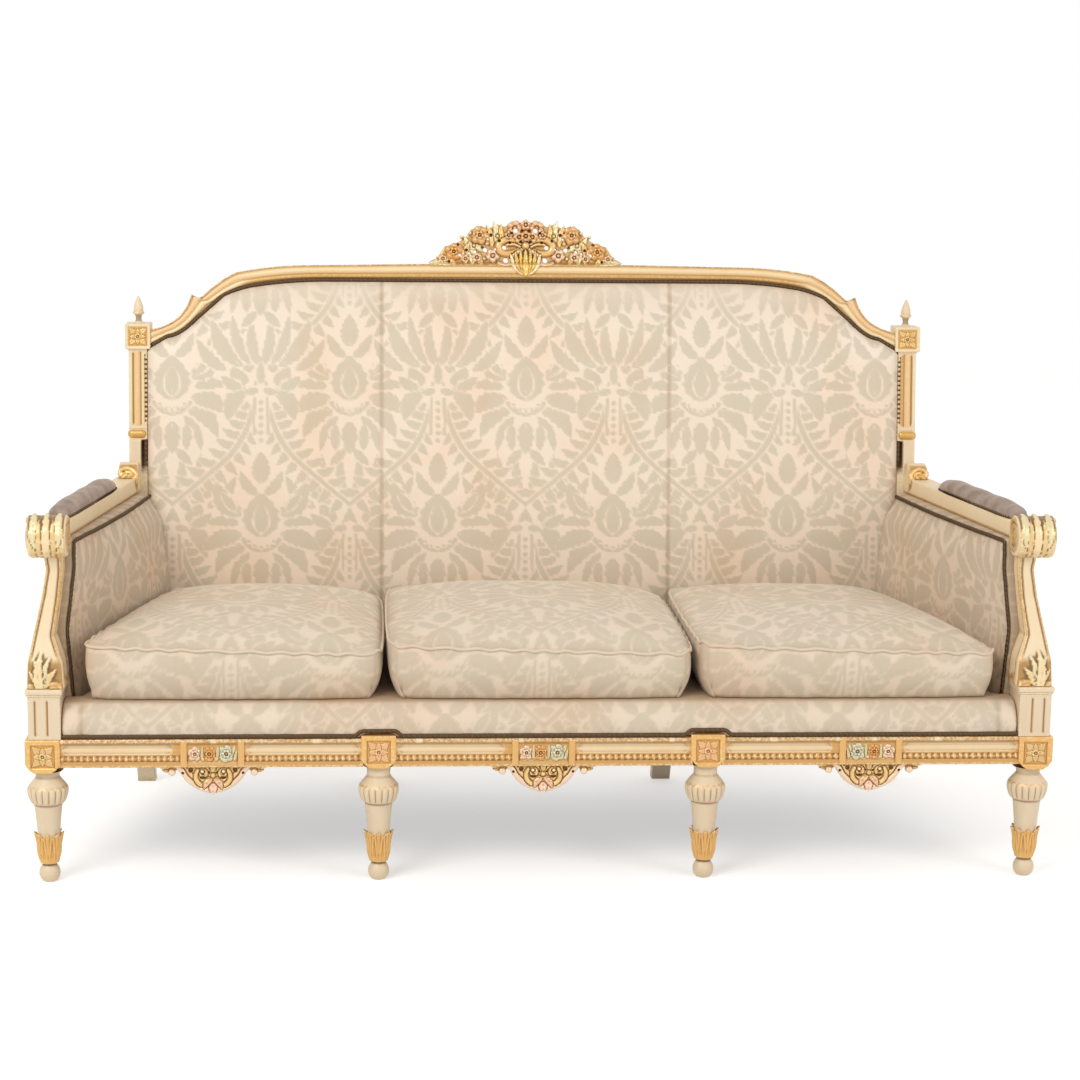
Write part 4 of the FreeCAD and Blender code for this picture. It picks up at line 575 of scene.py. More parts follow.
RAIL_BOTTOM, RAIL_TOP = 228.4, 283.6
BEAD_PITCH = 12.0
PLAQUE_HALF = 61
RAIL_SPANS = (("left", -LEG_PITCH, -911.6, -346.4), ("centre", 0, -280.3, 280.3),
              ("right", LEG_PITCH, 346.4, 911.6))
for name, plaque_x, visible_low, visible_high in RAIL_SPANS:
    low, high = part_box(f"front_rail_{name}")
    x_line = np.arange(visible_low - 6, visible_high + 6.1, 1.9)
    z_line = np.concatenate([np.linspace(RAIL_BOTTOM, 251, 19), np.linspace(252, RAIL_TOP, 19)])
    x, z = np.meshgrid(x_line, z_line)
    down = RAIL_TOP - z
    forward = -2.2 * step_up(down, 8.4, 9.4) + 1.4 * np.cos((down - 4.5) / 4.5 * math.pi / 2).clip(0) - 1.2
    cove = np.full(x.shape, -9.0)
    for start, finish, gap_finish in ((visible_low, plaque_x - PLAQUE_HALF, 13),
                                      (plaque_x + PLAQUE_HALF, visible_high, 2)):
        cove = np.maximum(cove, end_gap(x, z, start, finish, RAIL_TOP - 20.5, 11, 2, gap_finish))
    in_cove = step_up(cove, -0.4, 1.2)
    forward = forward - in_cove * (1.4 + 2.8 * np.clip(cove / 11, 0, 1) ** 0.6)
    band = step_up(down, 32, 33) * (1 - step_up(down, 44.2, 45.2))
    bead = (x - plaque_x) / BEAD_PITCH
    bead_share = np.abs((bead % 1) - 0.5) * 2
    across = (down - 38.6) / 6.0
    oval = np.sqrt(np.clip(1 - (bead_share / 0.72) ** 2 - across ** 2, 0, 1))
    point = np.clip(1 - np.abs(((bead + 0.5) % 1) - 0.5) / 0.16 - np.abs(across) * 0.9, 0, 1)
    forward = forward + band * (-2.0 + oval * 4.6 + point * 2.6)
    foot = step_up(down, 45.2, 46.2)
    forward = forward + foot * (-0.8 + 1.6 * np.sqrt(np.clip(1 - ((down - 50.5) / 5.2) ** 2, 0, 1)))
    points, faces, ring = boarded(x * mm, z * mm, (forward - 0.2).clip(-8, 0) * mm, low, high)
    colour = tinted(in_cove, (0.62, 0.355, 0.12), (0.88, 0.68, 0.42))
    # Just under the top fillet the colour is 22 per cent darker: painted shade below the step.
    colour = colour * (1 - 0.22 * step_up(-np.abs(down - 9.2), -1.6, -0.4))[..., None]
    top = 1 - step_up(down, 8.5, 9.2)
    colour = tinted(top, colour, (0.56, 0.32, 0.115))
    chip = np.sin(x * 0.021 + plaque_x) * np.sin(x * 0.13 + 1.0) * np.sin(x * 0.047)
    chip = step_up(chip, 0.52, 0.62) * top
    colour = tinted(chip * 0.8, colour, (0.86, 0.68, 0.44))
    gilt = 1 - in_cove
    colour = np.concatenate([colour.reshape(-1, 3), colour.reshape(-1, 3)[ring]])
    gilt = np.concatenate([gilt.ravel(), gilt.ravel()[ring]])
    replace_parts(carved(f"rail_{name}", points, faces, colour, gilt, 1.1 * mm), f"front_rail_{name}")


# Rail plaques: a carved panel at the middle of each rail, between two upright gilded bars,
# with three flowers of different paint on a pale ground: pink, then orange, then a large green one.
plaques = []
for number, middle_x in enumerate((-LEG_PITCH, 0.0, LEG_PITCH)):
    relief = field(122, 51, 0.85)
    frame_edge = np.minimum(PLAQUE_HALF - abs(relief.x), 25.5 - abs(relief.z))
    relief.lay(frame_edge, np.full(relief.x.shape, 2.0), (0.66, 0.40, 0.145))
    ground = np.minimum(47 - abs(relief.x), np.minimum(relief.z + 18, 16.5 - relief.z))
    relief.lay(ground, np.full(relief.x.shape, 0.6), (0.66, 0.54, 0.33), 0.6)
    turn = -1 if number == 2 else 1
    for flower_x, radius, petals, colour in (
            (-33, 14, 5, (0.80, 0.58, 0.42)), (-6, 15, 8, (0.68, 0.33, 0.09)), (26, 17, 6, (0.60, 0.60, 0.44))):
        relief.flower(flower_x * turn, -1, radius, 6.0, petals, colour, (0.55, 0.30, 0.10), 0.3)
        relief.flower(flower_x * turn, -1, radius * 0.55, 7.2, petals, colour, (0.60, 0.33, 0.10))
    for leaf_x, leaf_z, tip_x, tip_z in ((-20, -14, -19, 14), (10, 14, 9, -15), (41, -14, 46, 6),
                                         (42, 14, 38, -2)):
        relief.leaf((leaf_x * turn, leaf_z), (tip_x * turn, tip_z), 4.2, 5.0, (0.66, 0.58, 0.34), teeth=3)
    for bar_x in (-54, 54):
        bar = 6.4 - abs(relief.x - bar_x)
        swell = np.sqrt(np.clip(1 - ((relief.x - bar_x) / 7) ** 2, 0, 1))
        relief.lay(np.minimum(bar, 25.5 - abs(relief.z)), 3.0 + 4.0 * swell, (0.72, 0.43, 0.155))

    def on_rail(a, b, h):
        return np.stack([(middle_x + a) * mm, (-367.4 - h * 0.9) * mm, (256 + b) * mm], 1)

    plaques.append(relief_mesh(relief, on_rail, 1.6))
plaques = carved("rail_plaques_carved", *joined(*plaques), reach=1.1 * mm, slot="gilt_carving")
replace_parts(plaques, "rail_plaques")


# Apron drops: three fret-cut and carved lime-wood pendants glued up under the rails, each a heart
# of two scrolls between sweeping bands, with leaves and a ball at either side, gilded and tinted.
def stroke(self, path, widths, height, colour=GOLD):
    """A band with a rounded back along a path; its half width changes from end to end."""
    path = np.asarray(path, float)
    halves = np.interp(np.linspace(0, 1, len(path)), np.linspace(0, 1, len(widths)), widths)
    best = np.full(self.x.shape, -99.0)
    full = np.ones(self.x.shape)
    for (ax, az), (bx, bz), start, finish in zip(path, path[1:], halves, halves[1:]):
        dx, dz = bx - ax, bz - az
        along = np.clip(((self.x - ax) * dx + (self.z - az) * dz) / (dx * dx + dz * dz), 0, 1)
        half = start + (finish - start) * along
        inside = half - np.hypot(self.x - ax - along * dx, self.z - az - along * dz)
        full = np.where(inside > best, half, full)
        best = np.maximum(best, inside)
    dome = np.sqrt(np.clip(1 - (1 - best / full).clip(0, 1) ** 2, 0, 1))
    self.lay(best, height * (0.35 + 0.65 * dome), colour)


def plate(self, corners, height, colour=GOLD, round_off=5.0):
    """A flat piece inside a closed outline, rounded at its edge."""
    corners = np.asarray(corners, float)
    nearest = np.full(self.x.shape, 999.0)
    odd = np.zeros(self.x.shape, bool)
    for (ax, az), (bx, bz) in zip(corners, np.roll(corners, -1, 0)):
        dx, dz = bx - ax, bz - az
        along = np.clip(((self.x - ax) * dx + (self.z - az) * dz) / (dx * dx + dz * dz), 0, 1)
        nearest = np.minimum(nearest, np.hypot(self.x - ax - along * dx, self.z - az - along * dz))
        if dz:
            odd ^= ((az > self.z) != (bz > self.z)) & (self.x < dx * (self.z - az) / dz + ax)
    inside = np.where(odd, nearest, -nearest)
    self.lay(inside, height * (0.55 + 0.45 * step_up(inside, 0, round_off)), colour)


def shaded_hole(self, x, z, radius, depth=0.2, colour=(0.16, 0.08, 0.025), flat=1.0):
    """A drilled hole that stops inside the wood, painted dark: painted shade inside the hole."""
    away = np.hypot(self.x - x, (self.z - z) / flat) - radius
    sunk = 1 - step_up(away, -0.4, 1.2)
    self.height = self.height * (1 - sunk) + depth * sunk
    self.colour = tinted(1 - step_up(away, -0.2, 1.4), self.colour, colour)


def spiral(x, z, radius, inner, turns, start=0.0, steps=40):
    """Points of a scroll that winds in to its eye."""
    share = np.linspace(0, 1, steps)
    angle = start + share * turns * 2 * math.pi
    reach = radius + (inner - radius) * share
    return np.stack([x + np.cos(angle) * reach, z + np.sin(angle) * reach], 1)


def bent(points, steps=36):
    """A smooth path through a few points."""
    points = np.asarray(points, float)
    ends = np.vstack([points[0] * 2 - points[1], points, points[-1] * 2 - points[-2]])
    place = np.linspace(0, len(points) - 1 - 1e-6, steps)
    span = place.astype(int)
    t = (place - span)[:, None]
    p0, p1, p2, p3 = ends[span], ends[span + 1], ends[span + 2], ends[span + 3]
    return 0.5 * (2 * p1 + (p2 - p0) * t + (2 * p0 - 5 * p1 + 4 * p2 - p3) * t ** 2
                  + (3 * p1 - 3 * p2 + p3 - p0) * t ** 3)


def mirrored_field(width, height, pitch, low):
    """A level grid whose forms are drawn once and appear on both sides of the middle."""
    relief = field(width, height, pitch, low)
    relief.whole = relief.x.copy()
    relief.x = np.abs(relief.x)
    return relief


PINK_CREAM = (0.84, 0.63, 0.45)
PALE_GOLD = (0.80, 0.56, 0.25)
for name, middle_x in (("left", -LEG_PITCH), ("centre", 0.0), ("right", LEG_PITCH)):
    relief = mirrored_field(205, 74, 0.95, -55.4)
    plate(relief, [(0, 16), (60, 16), (64, 2), (98, 1), (100, -3), (88, -9), (70, -7), (60, -11), (50, -24),
                   (36, -37), (18, -47), (0, -54)], 6.0, PALE_GOLD)
    relief.leaf((60, 3), (102.2, -2.5), 7.5, 8.5, PALE_GOLD, bend=-0.06, teeth=5, veins=5)
    relief.leaf((66, -3), (96, -9), 4.8, 8.0, (0.66, 0.40, 0.15), bend=-0.1, veins=3)
    relief.ball(78, -12.5, 7.2, 8.5, (0.86, 0.66, 0.48))
    stroke(relief, bent([(70, 1), (61, -6), (50, -20), (37, -33), (20, -43), (6, -48)]), (4.5, 7.4, 5.5), 9.0,
           PINK_CREAM)
    stroke(relief, bent([(64, 5), (52, -2), (44, -14), (34, -25), (24, -33)]), (2.0, 4.4, 3.0), 8.0,
           PALE_GOLD)
    stroke(relief, bent([(0, -29), (9, -25), (13, -34), (22, -37), (31, -28), (32, -16), (25, -5), (13, -3),
                         (4, -9)]), (3.2, 4.4, 5.0, 4.4, 3.4), 10.5, PALE_GOLD)
    stroke(relief, spiral(19, -14, 8.5, 2.5, 1.3, 1.2), (3.4, 2.2), 11.5, (0.78, 0.52, 0.21))
    relief.leaf((2, -25), (18, -46), 6.5, 9.5, (0.80, 0.52, 0.33), bend=0.12, veins=3)
    relief.leaf((0, -34), (0, -55.5), 8.5, 10.0, (0.90, 0.62, 0.47), veins=2)
    relief.ball(0, -18, 5.2, 10.0, PALE_GOLD)
    relief.leaf((0, -12), (0, 6), 6.5, 9.5, PALE_GOLD, veins=3)
    for side_x, side_z in ((30, 3), (40, 1), (50, 3)):
        relief.leaf((side_x - 6, -4), (side_x + 2, side_z + 5), 4.0, 7.5, (0.74, 0.48, 0.19), veins=2)
    # The near-white ball over the scroll's eye is a painted highlight.
    relief.ball(20, -9.5, 4.0, 13.0, (0.96, 0.84, 0.62))
    # These shallow holes are painted dark: painted shade.
    shaded_hole(relief, 42, -8, 3.6)
    shaded_hole(relief, 19, -22, 6.0, flat=0.5)
    shaded_hole(relief, 7, -13, 1.6)
    shaded_hole(relief, 57, -13, 1.8)
    relief.x = relief.whole
    relief.inside = np.minimum(relief.inside, 14 - relief.z)

    def under_rail(a, b, h):
        return np.stack([(middle_x + a) * mm, (-355.5 - h * 0.92) * mm, (228.6 + b) * mm], 1)

    piece = relief_mesh(relief, under_rail, 5.0)
    drop = carved(f"drop_{name}", *piece, reach=1.6 * mm, slot="gilt_carving")
    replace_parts(drop, f"apron_drop_{name}")


# Upholstery nails: domed bronze nails at a ten-millimetre pitch, driven through a dark gimp. The
# front row runs along the rails' top edge and steps up over the two inner leg blocks.
def aged_bronze():
    material, tree, shader = new_material("aged bronze nails", Metallic=0.75, Roughness=0.42)
    spots = clouds(tree, 900.0, 2.0)
    tree.links.new(blend_colour(tree, spots, (0.045, 0.026, 0.013), (0.17, 0.10, 0.05)),
                   shader.inputs["Base Color"])
    return material


show_bronze = aged_bronze()


def evenly(path, pitch):
    """Points at an even pitch along a path, with the unit direction at each."""
    path = np.asarray(path, float)
    lengths = np.linalg.norm(np.diff(path, axis=0), axis=1)
    keep = np.append(True, lengths > 1e-9)
    path = path[keep]
    reach = np.append(0, np.cumsum(np.linalg.norm(np.diff(path, axis=0), axis=1)))
    count = max(2, int(round(reach[-1] / pitch)) + 1)
    place = np.linspace(0, reach[-1], count)
    points = np.stack([np.interp(place, reach, path[:, axis]) for axis in range(3)], 1)
    ways = np.gradient(points, axis=0)
    return points, ways / np.linalg.norm(ways, axis=1, keepdims=True).clip(1e-9)


def nail_heads(path, outward, radius=4.3 * mm, pitch=10 * mm, dome=2.6 * mm):
    """A row of domed heads; outward is the way they face, one for all or one each."""
    places, ways = evenly(path, pitch)
    outward = np.broadcast_to(np.asarray(outward, float), places.shape)
    rings = ((1.0, -0.35), (1.0, 0.0), (0.86, 0.5), (0.55, 0.84), (0.2, 0.98))
    turn = np.linspace(0, 2 * math.pi, 10, endpoint=False)
    points, faces = [], []
    for place, way, out in zip(places, ways, outward):
        out = out / np.linalg.norm(out)
        side = np.cross(out, way)
        side = side / np.linalg.norm(side)
        ahead = np.cross(side, out)
        start = len(points)
        for reach, rise in rings:
            for angle in turn:
                turned = side * math.cos(angle) + ahead * math.sin(angle)
                points.append(place + turned * reach * radius + out * rise * dome)
        faces.extend(grid_faces(len(rings), len(turn), close_columns=True, start=start).tolist())
        faces.append([start + (len(rings) - 1) * len(turn) + index for index in range(len(turn))])
    return points, faces


def ribbon(path, outward, width=8 * mm, depth=1.2 * mm):
    """A flat gimp under the nails."""
    places, ways = evenly(path, 6 * mm)
    outward = np.broadcast_to(np.asarray(outward, float), places.shape)
    side = np.cross(outward, ways)
    side /= np.linalg.norm(side, axis=1, keepdims=True)
    section = ((-1, -1), (-1, 0.6), (0, 1), (1, 0.6), (1, -1))
    corners = [places + side * width * across / 2 + outward * depth * rise for across, rise in section]
    points = np.stack(corners, 1).reshape(-1, 3)
    faces = grid_faces(len(places), 5, close_columns=True).tolist()
    faces += [list(range(5))[::-1], [len(points) - 5 + index for index in range(5)]]
    return points, faces


def two_sets(*parts):
    """Several sets of points and faces as one set."""
    points, faces = [], []
    for part_points, part_faces in parts:
        start = len(points)
        points.extend(np.asarray(part_points).tolist())
        faces.extend([[index + start for index in face] for face in part_faces])
    return points, faces


STEP = ((46, 288.8), (41, 290.5), (36, 296.0), (31, 298.2))
nail_line = [(-909, STEP[0][1])]
for die_x in (-LEG_PITCH / 2, LEG_PITCH / 2):
    nail_line += [(die_x - away, height) for away, height in STEP]
    nail_line += [(die_x + away, height) for away, height in STEP[::-1]]
nail_line += [(909, STEP[0][1])]
seat_path = np.array([(x * mm, -370.2 * mm, z * mm) for x, z in nail_line])
forwards = (0, -1, 0)
nails = two_sets(nail_heads(seat_path, forwards), ribbon(seat_path, forwards))
nails = plain_piece("seat_front_nails", *nails, show_bronze, "bronze_nails")
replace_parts(nails, "seat_nails")


# Crest rail: one sawn and moulded beech rail over the back, level in the middle, with a rounded
# shoulder and a pointed ear at each side, tenoned into the blocks of the rear posts.
LEAN = math.radians(6.5)
BACK_Y, BACK_Z = 0.248, 0.390
CREST_TOP, CREST_DEPTH, MOULDING_WIDTH = 750.3, 0.039, 39


def on_back(x, up, out):
    """A place on the leaning back, in metres; out is forwards from the frame's front face."""
    x, up, out = np.broadcast_arrays(x, up, out)
    y = BACK_Y + up * math.sin(LEAN) - out * math.cos(LEAN)
    z = BACK_Z + up * math.cos(LEAN) + out * math.sin(LEAN)
    return np.stack([x, y, z], -1)


def curve(*knots):
    """Points along a line of knots; a knot with four numbers is an arc, given by its middle and end."""
    points = [np.array(knots[0][:2], float)]
    for knot in knots[1:]:
        start, finish = points[-1], np.array(knot[-2:], float)
        middle = np.array(knot[:2], float) if len(knot) == 4 else (start + finish) / 2
        control = 2 * middle - (start + finish) / 2
        count = max(2, int(np.hypot(*(finish - start)) / 5))
        for t in np.linspace(0, 1, count + 1)[1:]:
            points.append((1 - t) ** 2 * start + 2 * t * (1 - t) * control + t * t * finish)
    return np.array(points)


def matched(path, count):
    """The same path with evenly shared points."""
    reach = np.append(0, np.cumsum(np.hypot(*np.diff(path, axis=0).T)))
    place = np.linspace(0, reach[-1], count)
    return np.stack([np.interp(place, reach, path[:, 0]), np.interp(place, reach, path[:, 1])], 1)


SPANS = (
    (((0, CREST_TOP), (219, CREST_TOP), (469.6, 746.3)), ((0, 711.3), (429.6, 711.3)), 60),
    (((469.6, 746.3), (542.1, 741.5, 614.6, 730.2)), ((429.6, 711.3), (512, 707.2, 586.6, 697.2)), 26),
    (((614.6, 730.2), (648.6, 710.5, 684.6, 680.4)), ((586.6, 697.2), (614.6, 689.1, 638.6, 679.1)), 16),
    (((684.6, 680.4), (694, 674.5), (708.6, 683.9)), ((638.6, 679.1), (668, 653.2)), 9),
    (((708.6, 683.9), (738, 634, 796, 608.9)), ((668, 653.2), (694.6, 629.7), (728.6, 601.6, 757.6, 591.5),
                                                (796, 569)), 34),
)
outer_edge, inner_edge = [], []
for outer_knots, inner_knots, count in SPANS:
    skip = 1 if outer_edge else 0
    outer_edge += matched(curve(*outer_knots), count)[skip:].tolist()
    inner_edge += matched(curve(*inner_knots), count)[skip:].tolist()
outer_edge, inner_edge = np.array(outer_edge), np.array(inner_edge)
flip = np.array([-1, 1])
outer_edge = np.concatenate([outer_edge[:0:-1] * flip, outer_edge])
inner_edge = np.concatenate([inner_edge[:0:-1] * flip, inner_edge])

moulding = np.array([
    (0, -5.5), (0.5, -2.6), (1.6, -1.0), (2.8, -1.3), (3.9, -3.6), (4.8, -4.2), (5.4, -3.4), (7, -1.5),
    (9.5, -0.3), (12, -0.1), (14.5, -0.8), (16.8, -2.4), (18, -4.0), (18.8, -4.6), (19.6, -3.8), (21.4, -2.2),
    (24, -1.6), (26.6, -2.2), (28.6, -3.8), (29.4, -5.0), (30.4, -5.2), (33, -5.2), (36, -5.2), (38.2, -5.4),
    (MOULDING_WIDTH, -6.2)])
across = (moulding[:, 0] / MOULDING_WIDTH)[None, :, None]
flat_x = outer_edge[:, None, :] * (1 - across) + inner_edge[:, None, :] * across
out = np.broadcast_to(moulding[None, :, 1], flat_x.shape[:2])
front = on_back(flat_x[..., 0] * mm, flat_x[..., 1] * mm, out * mm)
closing = [on_back(edge[:, 0] * mm, edge[:, 1] * mm, -CREST_DEPTH) for edge in (inner_edge, outer_edge)]
rings = np.concatenate([front, np.stack(closing, 1)], 1)
rows, columns = rings.shape[:2]
shoulder = step_up(np.abs(outer_edge[:, 0]), 590, 640)[:, None, None]
at = np.append(moulding[:, 0], [MOULDING_WIDTH, 0])[None, :, None]
cream = tinted(shoulder[..., 0], (0.93, 0.72, 0.43), (0.86, 0.60, 0.32))
bead = tinted(shoulder[..., 0], (0.62, 0.37, 0.125), (0.88, 0.70, 0.42))
colour = np.where(at < 29.2, bead, (0.56, 0.34, 0.13))
colour = np.where(at < 3.4, (0.50, 0.29, 0.085), np.where(at < 18.4, cream, colour))
colour = np.array(np.broadcast_to(colour, (rows, columns, 3)))
colour[:, -2:] = IVORY
colour = colour.reshape(-1, 3)
gilt = np.where(at < 3.4, 1.0, np.where(at < 18.4, 0.12, np.where(at < 29.2, 1 - 0.7 * shoulder, 0.6)))
gilt = np.broadcast_to(gilt[..., 0], (rows, columns)).reshape(-1)
faces = grid_faces(rows, columns, close_columns=True).tolist()
faces += [list(range(columns))[::-1], list(range((rows - 1) * columns, rows * columns))]
crest = carved("crest_rail_moulded", rings.reshape(-1, 3), faces, colour, gilt, 1.6 * mm)
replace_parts(crest, "crest_rail")


# Crest carving: lime wood, pierced and carved with flowers, leaves and a ribbon, gilded and tinted.
# A golden palmette at its foot laps down over the front of the crest rail.
LEAF_GREEN = (0.80, 0.70, 0.42)
ORANGE = (0.74, 0.40, 0.14)
ROSE_GOLD = (0.80, 0.52, 0.29)
RUST = (0.58, 0.28, 0.07)
relief = mirrored_field(414, 139, 1.25, -27)
plate(relief, [(0, -4), (203, -4), (204, 6), (188, 14), (172, 38), (150, 44), (128, 56), (116, 74), (96, 82),
               (78, 76), (62, 86), (44, 80), (30, 92), (0, 88)], 4.0, (0.64, 0.40, 0.15), 3)
relief.leaf((158, -1), (206, 4), 6.5, 8.0, LEAF_GREEN, bend=0.05, teeth=4, veins=5)
relief.leaf((148, 2), (190, 16), 7.5, 9.0, PALE_GOLD, bend=0.08, teeth=4, veins=4)
for start, finish, width, paint, way in (
        ((112, 0), (132, 60), 12, LEAF_GREEN, 0.08), ((128, 0), (118, 50), 9, PALE_GOLD, -0.1),
        ((92, 0), (120, 30), 9, PALE_GOLD, 0.12), ((84, 30), (112, 44), 8, LEAF_GREEN, -0.08),
        ((72, 36), (84, 84), 8, PALE_GOLD, 0.1), ((58, 40), (68, 92), 11, LEAF_GREEN, 0.05),
        ((46, 44), (52, 86), 8, PALE_GOLD, -0.08), ((134, 6), (146, 46), 7, ROSE_GOLD, 0.1)):
    relief.leaf(start, finish, width, 10.0, paint, bend=way, teeth=4, veins=4)
for x, z, radius, height, petals, paint, heart, turn in (
        (153, 27, 19, 12.5, 5, ORANGE, RUST, 0.4), (153, 27, 9.5, 14.0, 5, (0.84, 0.55, 0.22), AMBER, 1.0),
        (98, 62, 20.5, 12.5, 6, (0.76, 0.45, 0.19), RUST, 0.2),
        (98, 62, 10, 14.0, 5, (0.85, 0.58, 0.30), AMBER, 0.8),
        (70, 19, 15, 11.5, 5, (0.86, 0.63, 0.46), ROSE_GOLD, 0.9),
        (104, 15, 11, 11.0, 5, (0.84, 0.60, 0.42), ROSE_GOLD, 0.2),
        (128, 12, 9, 10.5, 5, (0.86, 0.62, 0.40), ROSE_GOLD, 0.5),
        (176, 12, 9, 10.0, 5, (0.84, 0.60, 0.38), ROSE_GOLD, 0.1)):
    relief.flower(x, z, radius, height, petals, paint, heart, turn)
for x, z, radius in ((82, 44, 4.5), (110, 40, 4), (136, 58, 3.6), (60, 60, 4), (88, 12, 4), (118, 66, 4.2)):
    relief.ball(x, z, radius, 12.0, (0.86, 0.64, 0.34))
stroke(relief, bent([(4, 36), (20, 50), (40, 53), (57, 42), (54, 28), (40, 23), (22, 27), (6, 35)]),
       (4, 7, 8, 7, 4), 12.5, (0.80, 0.52, 0.22))
stroke(relief, bent([(6, 34), (22, 42), (38, 42), (46, 36)]), (2, 3.5, 2), 14.0, (0.88, 0.66, 0.34))
stroke(relief, bent([(8, 32), (24, 20), (30, 6), (44, 0), (58, 4)]), (4, 6, 5, 3), 12.0, (0.86, 0.64, 0.40))
for x, z, radius, height, petals, paint, heart, turn in (
        (23, 77, 17, 13.5, 5, (0.80, 0.50, 0.28), ROSE_GOLD, 0.6),
        (0, 84, 12, 12.5, 5, (0.82, 0.54, 0.30), ROSE_GOLD, 0.3),
        (14, 58, 13, 13.5, 5, (0.84, 0.58, 0.33), AMBER, 0.1),
        (0, 60, 12.5, 14.5, 6, (0.82, 0.50, 0.26), (0.56, 0.26, 0.07), 0.5),
        (36, 62, 9.5, 13.0, 5, (0.82, 0.55, 0.31), ROSE_GOLD, 0.3)):
    relief.flower(x, z, radius, height, petals, paint, heart, turn)
relief.ball(0, 40, 8.5, 14.5, PALE_GOLD)
for tip_x, tip_z, width, paint, way in ((32, 24, 6.5, (0.92, 0.78, 0.52), 0.12),
                                       (22, 30, 6, (0.78, 0.52, 0.16), 0.08),
                                       (11, 33, 5.5, (0.82, 0.56, 0.17), 0.04)):
    relief.leaf((1.5, -24), (tip_x, tip_z), width, 13.5, paint, bend=-way, veins=4)
relief.leaf((0, -26.5), (0, 34), 7.0, 14.5, (0.84, 0.58, 0.18), veins=5)
for hole_x, hole_z, hole in ((21, 72, 5.2), (45, 36, 4.6), (86, 31, 4.8), (108, 27, 3.6), (140, 20, 3.2),
                             (42, 9, 5.4), (80, 54, 2.6), (64, 33, 2.6), (120, 24, 2.6)):
    relief.pierce(hole_x, hole_z, hole)
# These shallow holes are painted dark: painted shade.
for hole_x, hole_z, hole in ((10, 48, 2.4), (34, 46, 2.2), (74, 62, 2.6), (126, 30, 2.4), (92, 36, 2.4),
                             (163, 6, 2.2), (56, 50, 2.4), (30, 66, 2.2), (144, 42, 2.0), (8, 72, 2.0)):
    shaded_hole(relief, hole_x, hole_z, hole)
relief.x = relief.whole


def crest_place(a, b, h):
    """Above the rail the carving stands in line with it; below, it lies on the rail's front."""
    above = step_up(b, -3, 6)
    base = -17.0 * above - 2.6 * (1 - above)
    face = base + h * (above + 0.55 * (1 - above))
    behind = -34.0 * above - 8.0 * (1 - above)
    return on_back(a * mm, (CREST_TOP + b) * mm, np.where(h < 0, behind, face) * mm)


piece = relief_mesh(relief, crest_place, 1.0)
flowers = carved("crest_flowers", *piece, reach=2.2 * mm, slot="gilt_carving")
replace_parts(flowers, "crest_carving")


# Rear posts: each is one board of beech, raking back below the seat and leaning above it. A reed
# runs up its front, between a gilded ring and a square block with a carved tile.
RAKE_TOP = 222


def post_front(z):
    """The y of a rear post's front at a height, in millimetres."""
    leaning = np.where(z < RAIL_TOP, 236, 236 + (z - RAIL_TOP) * math.tan(LEAN))
    return np.where(z < RAKE_TOP, 346 - 110 * z / RAKE_TOP, leaning)


def post_back(z):
    """The y of its back."""
    return np.where(z < RAKE_TOP, 380 - 99 * z / RAKE_TOP, post_front(z) + 45)


heights = np.concatenate([np.linspace(0, RAKE_TOP, 12), np.linspace(240, 690, 16), np.linspace(704, 796, 42),
                          np.linspace(800, 940, 24), np.linspace(942, 956, 8)])
POST_WIDTH, POST_INNER, POST_MIDDLE = 39, 801.55, 821.05
BLOCK_BOTTOM, BLOCK_TOP = 954.0, 1007.0
reed = np.array([
    (0, -3.4), (0.7, -1.4), (2.0, -0.6), (4.5, -0.5), (6.6, -0.8), (7.6, -2.4), (9.0, -3.6), (10.4, -3.0),
    (11.6, -1.9), (13.6, -0.7), (16.4, -0.1), (19.2, -0.2), (21.6, -1.2), (23.4, -2.8), (24.6, -4.0),
    (25.8, -3.2), (27.2, -1.6), (29.6, -0.9), (32.0, -1.3), (33.2, -2.6), (34.2, -1.7), (36.0, -1.2),
    (38.0, -1.8), (POST_WIDTH, -3.6)])
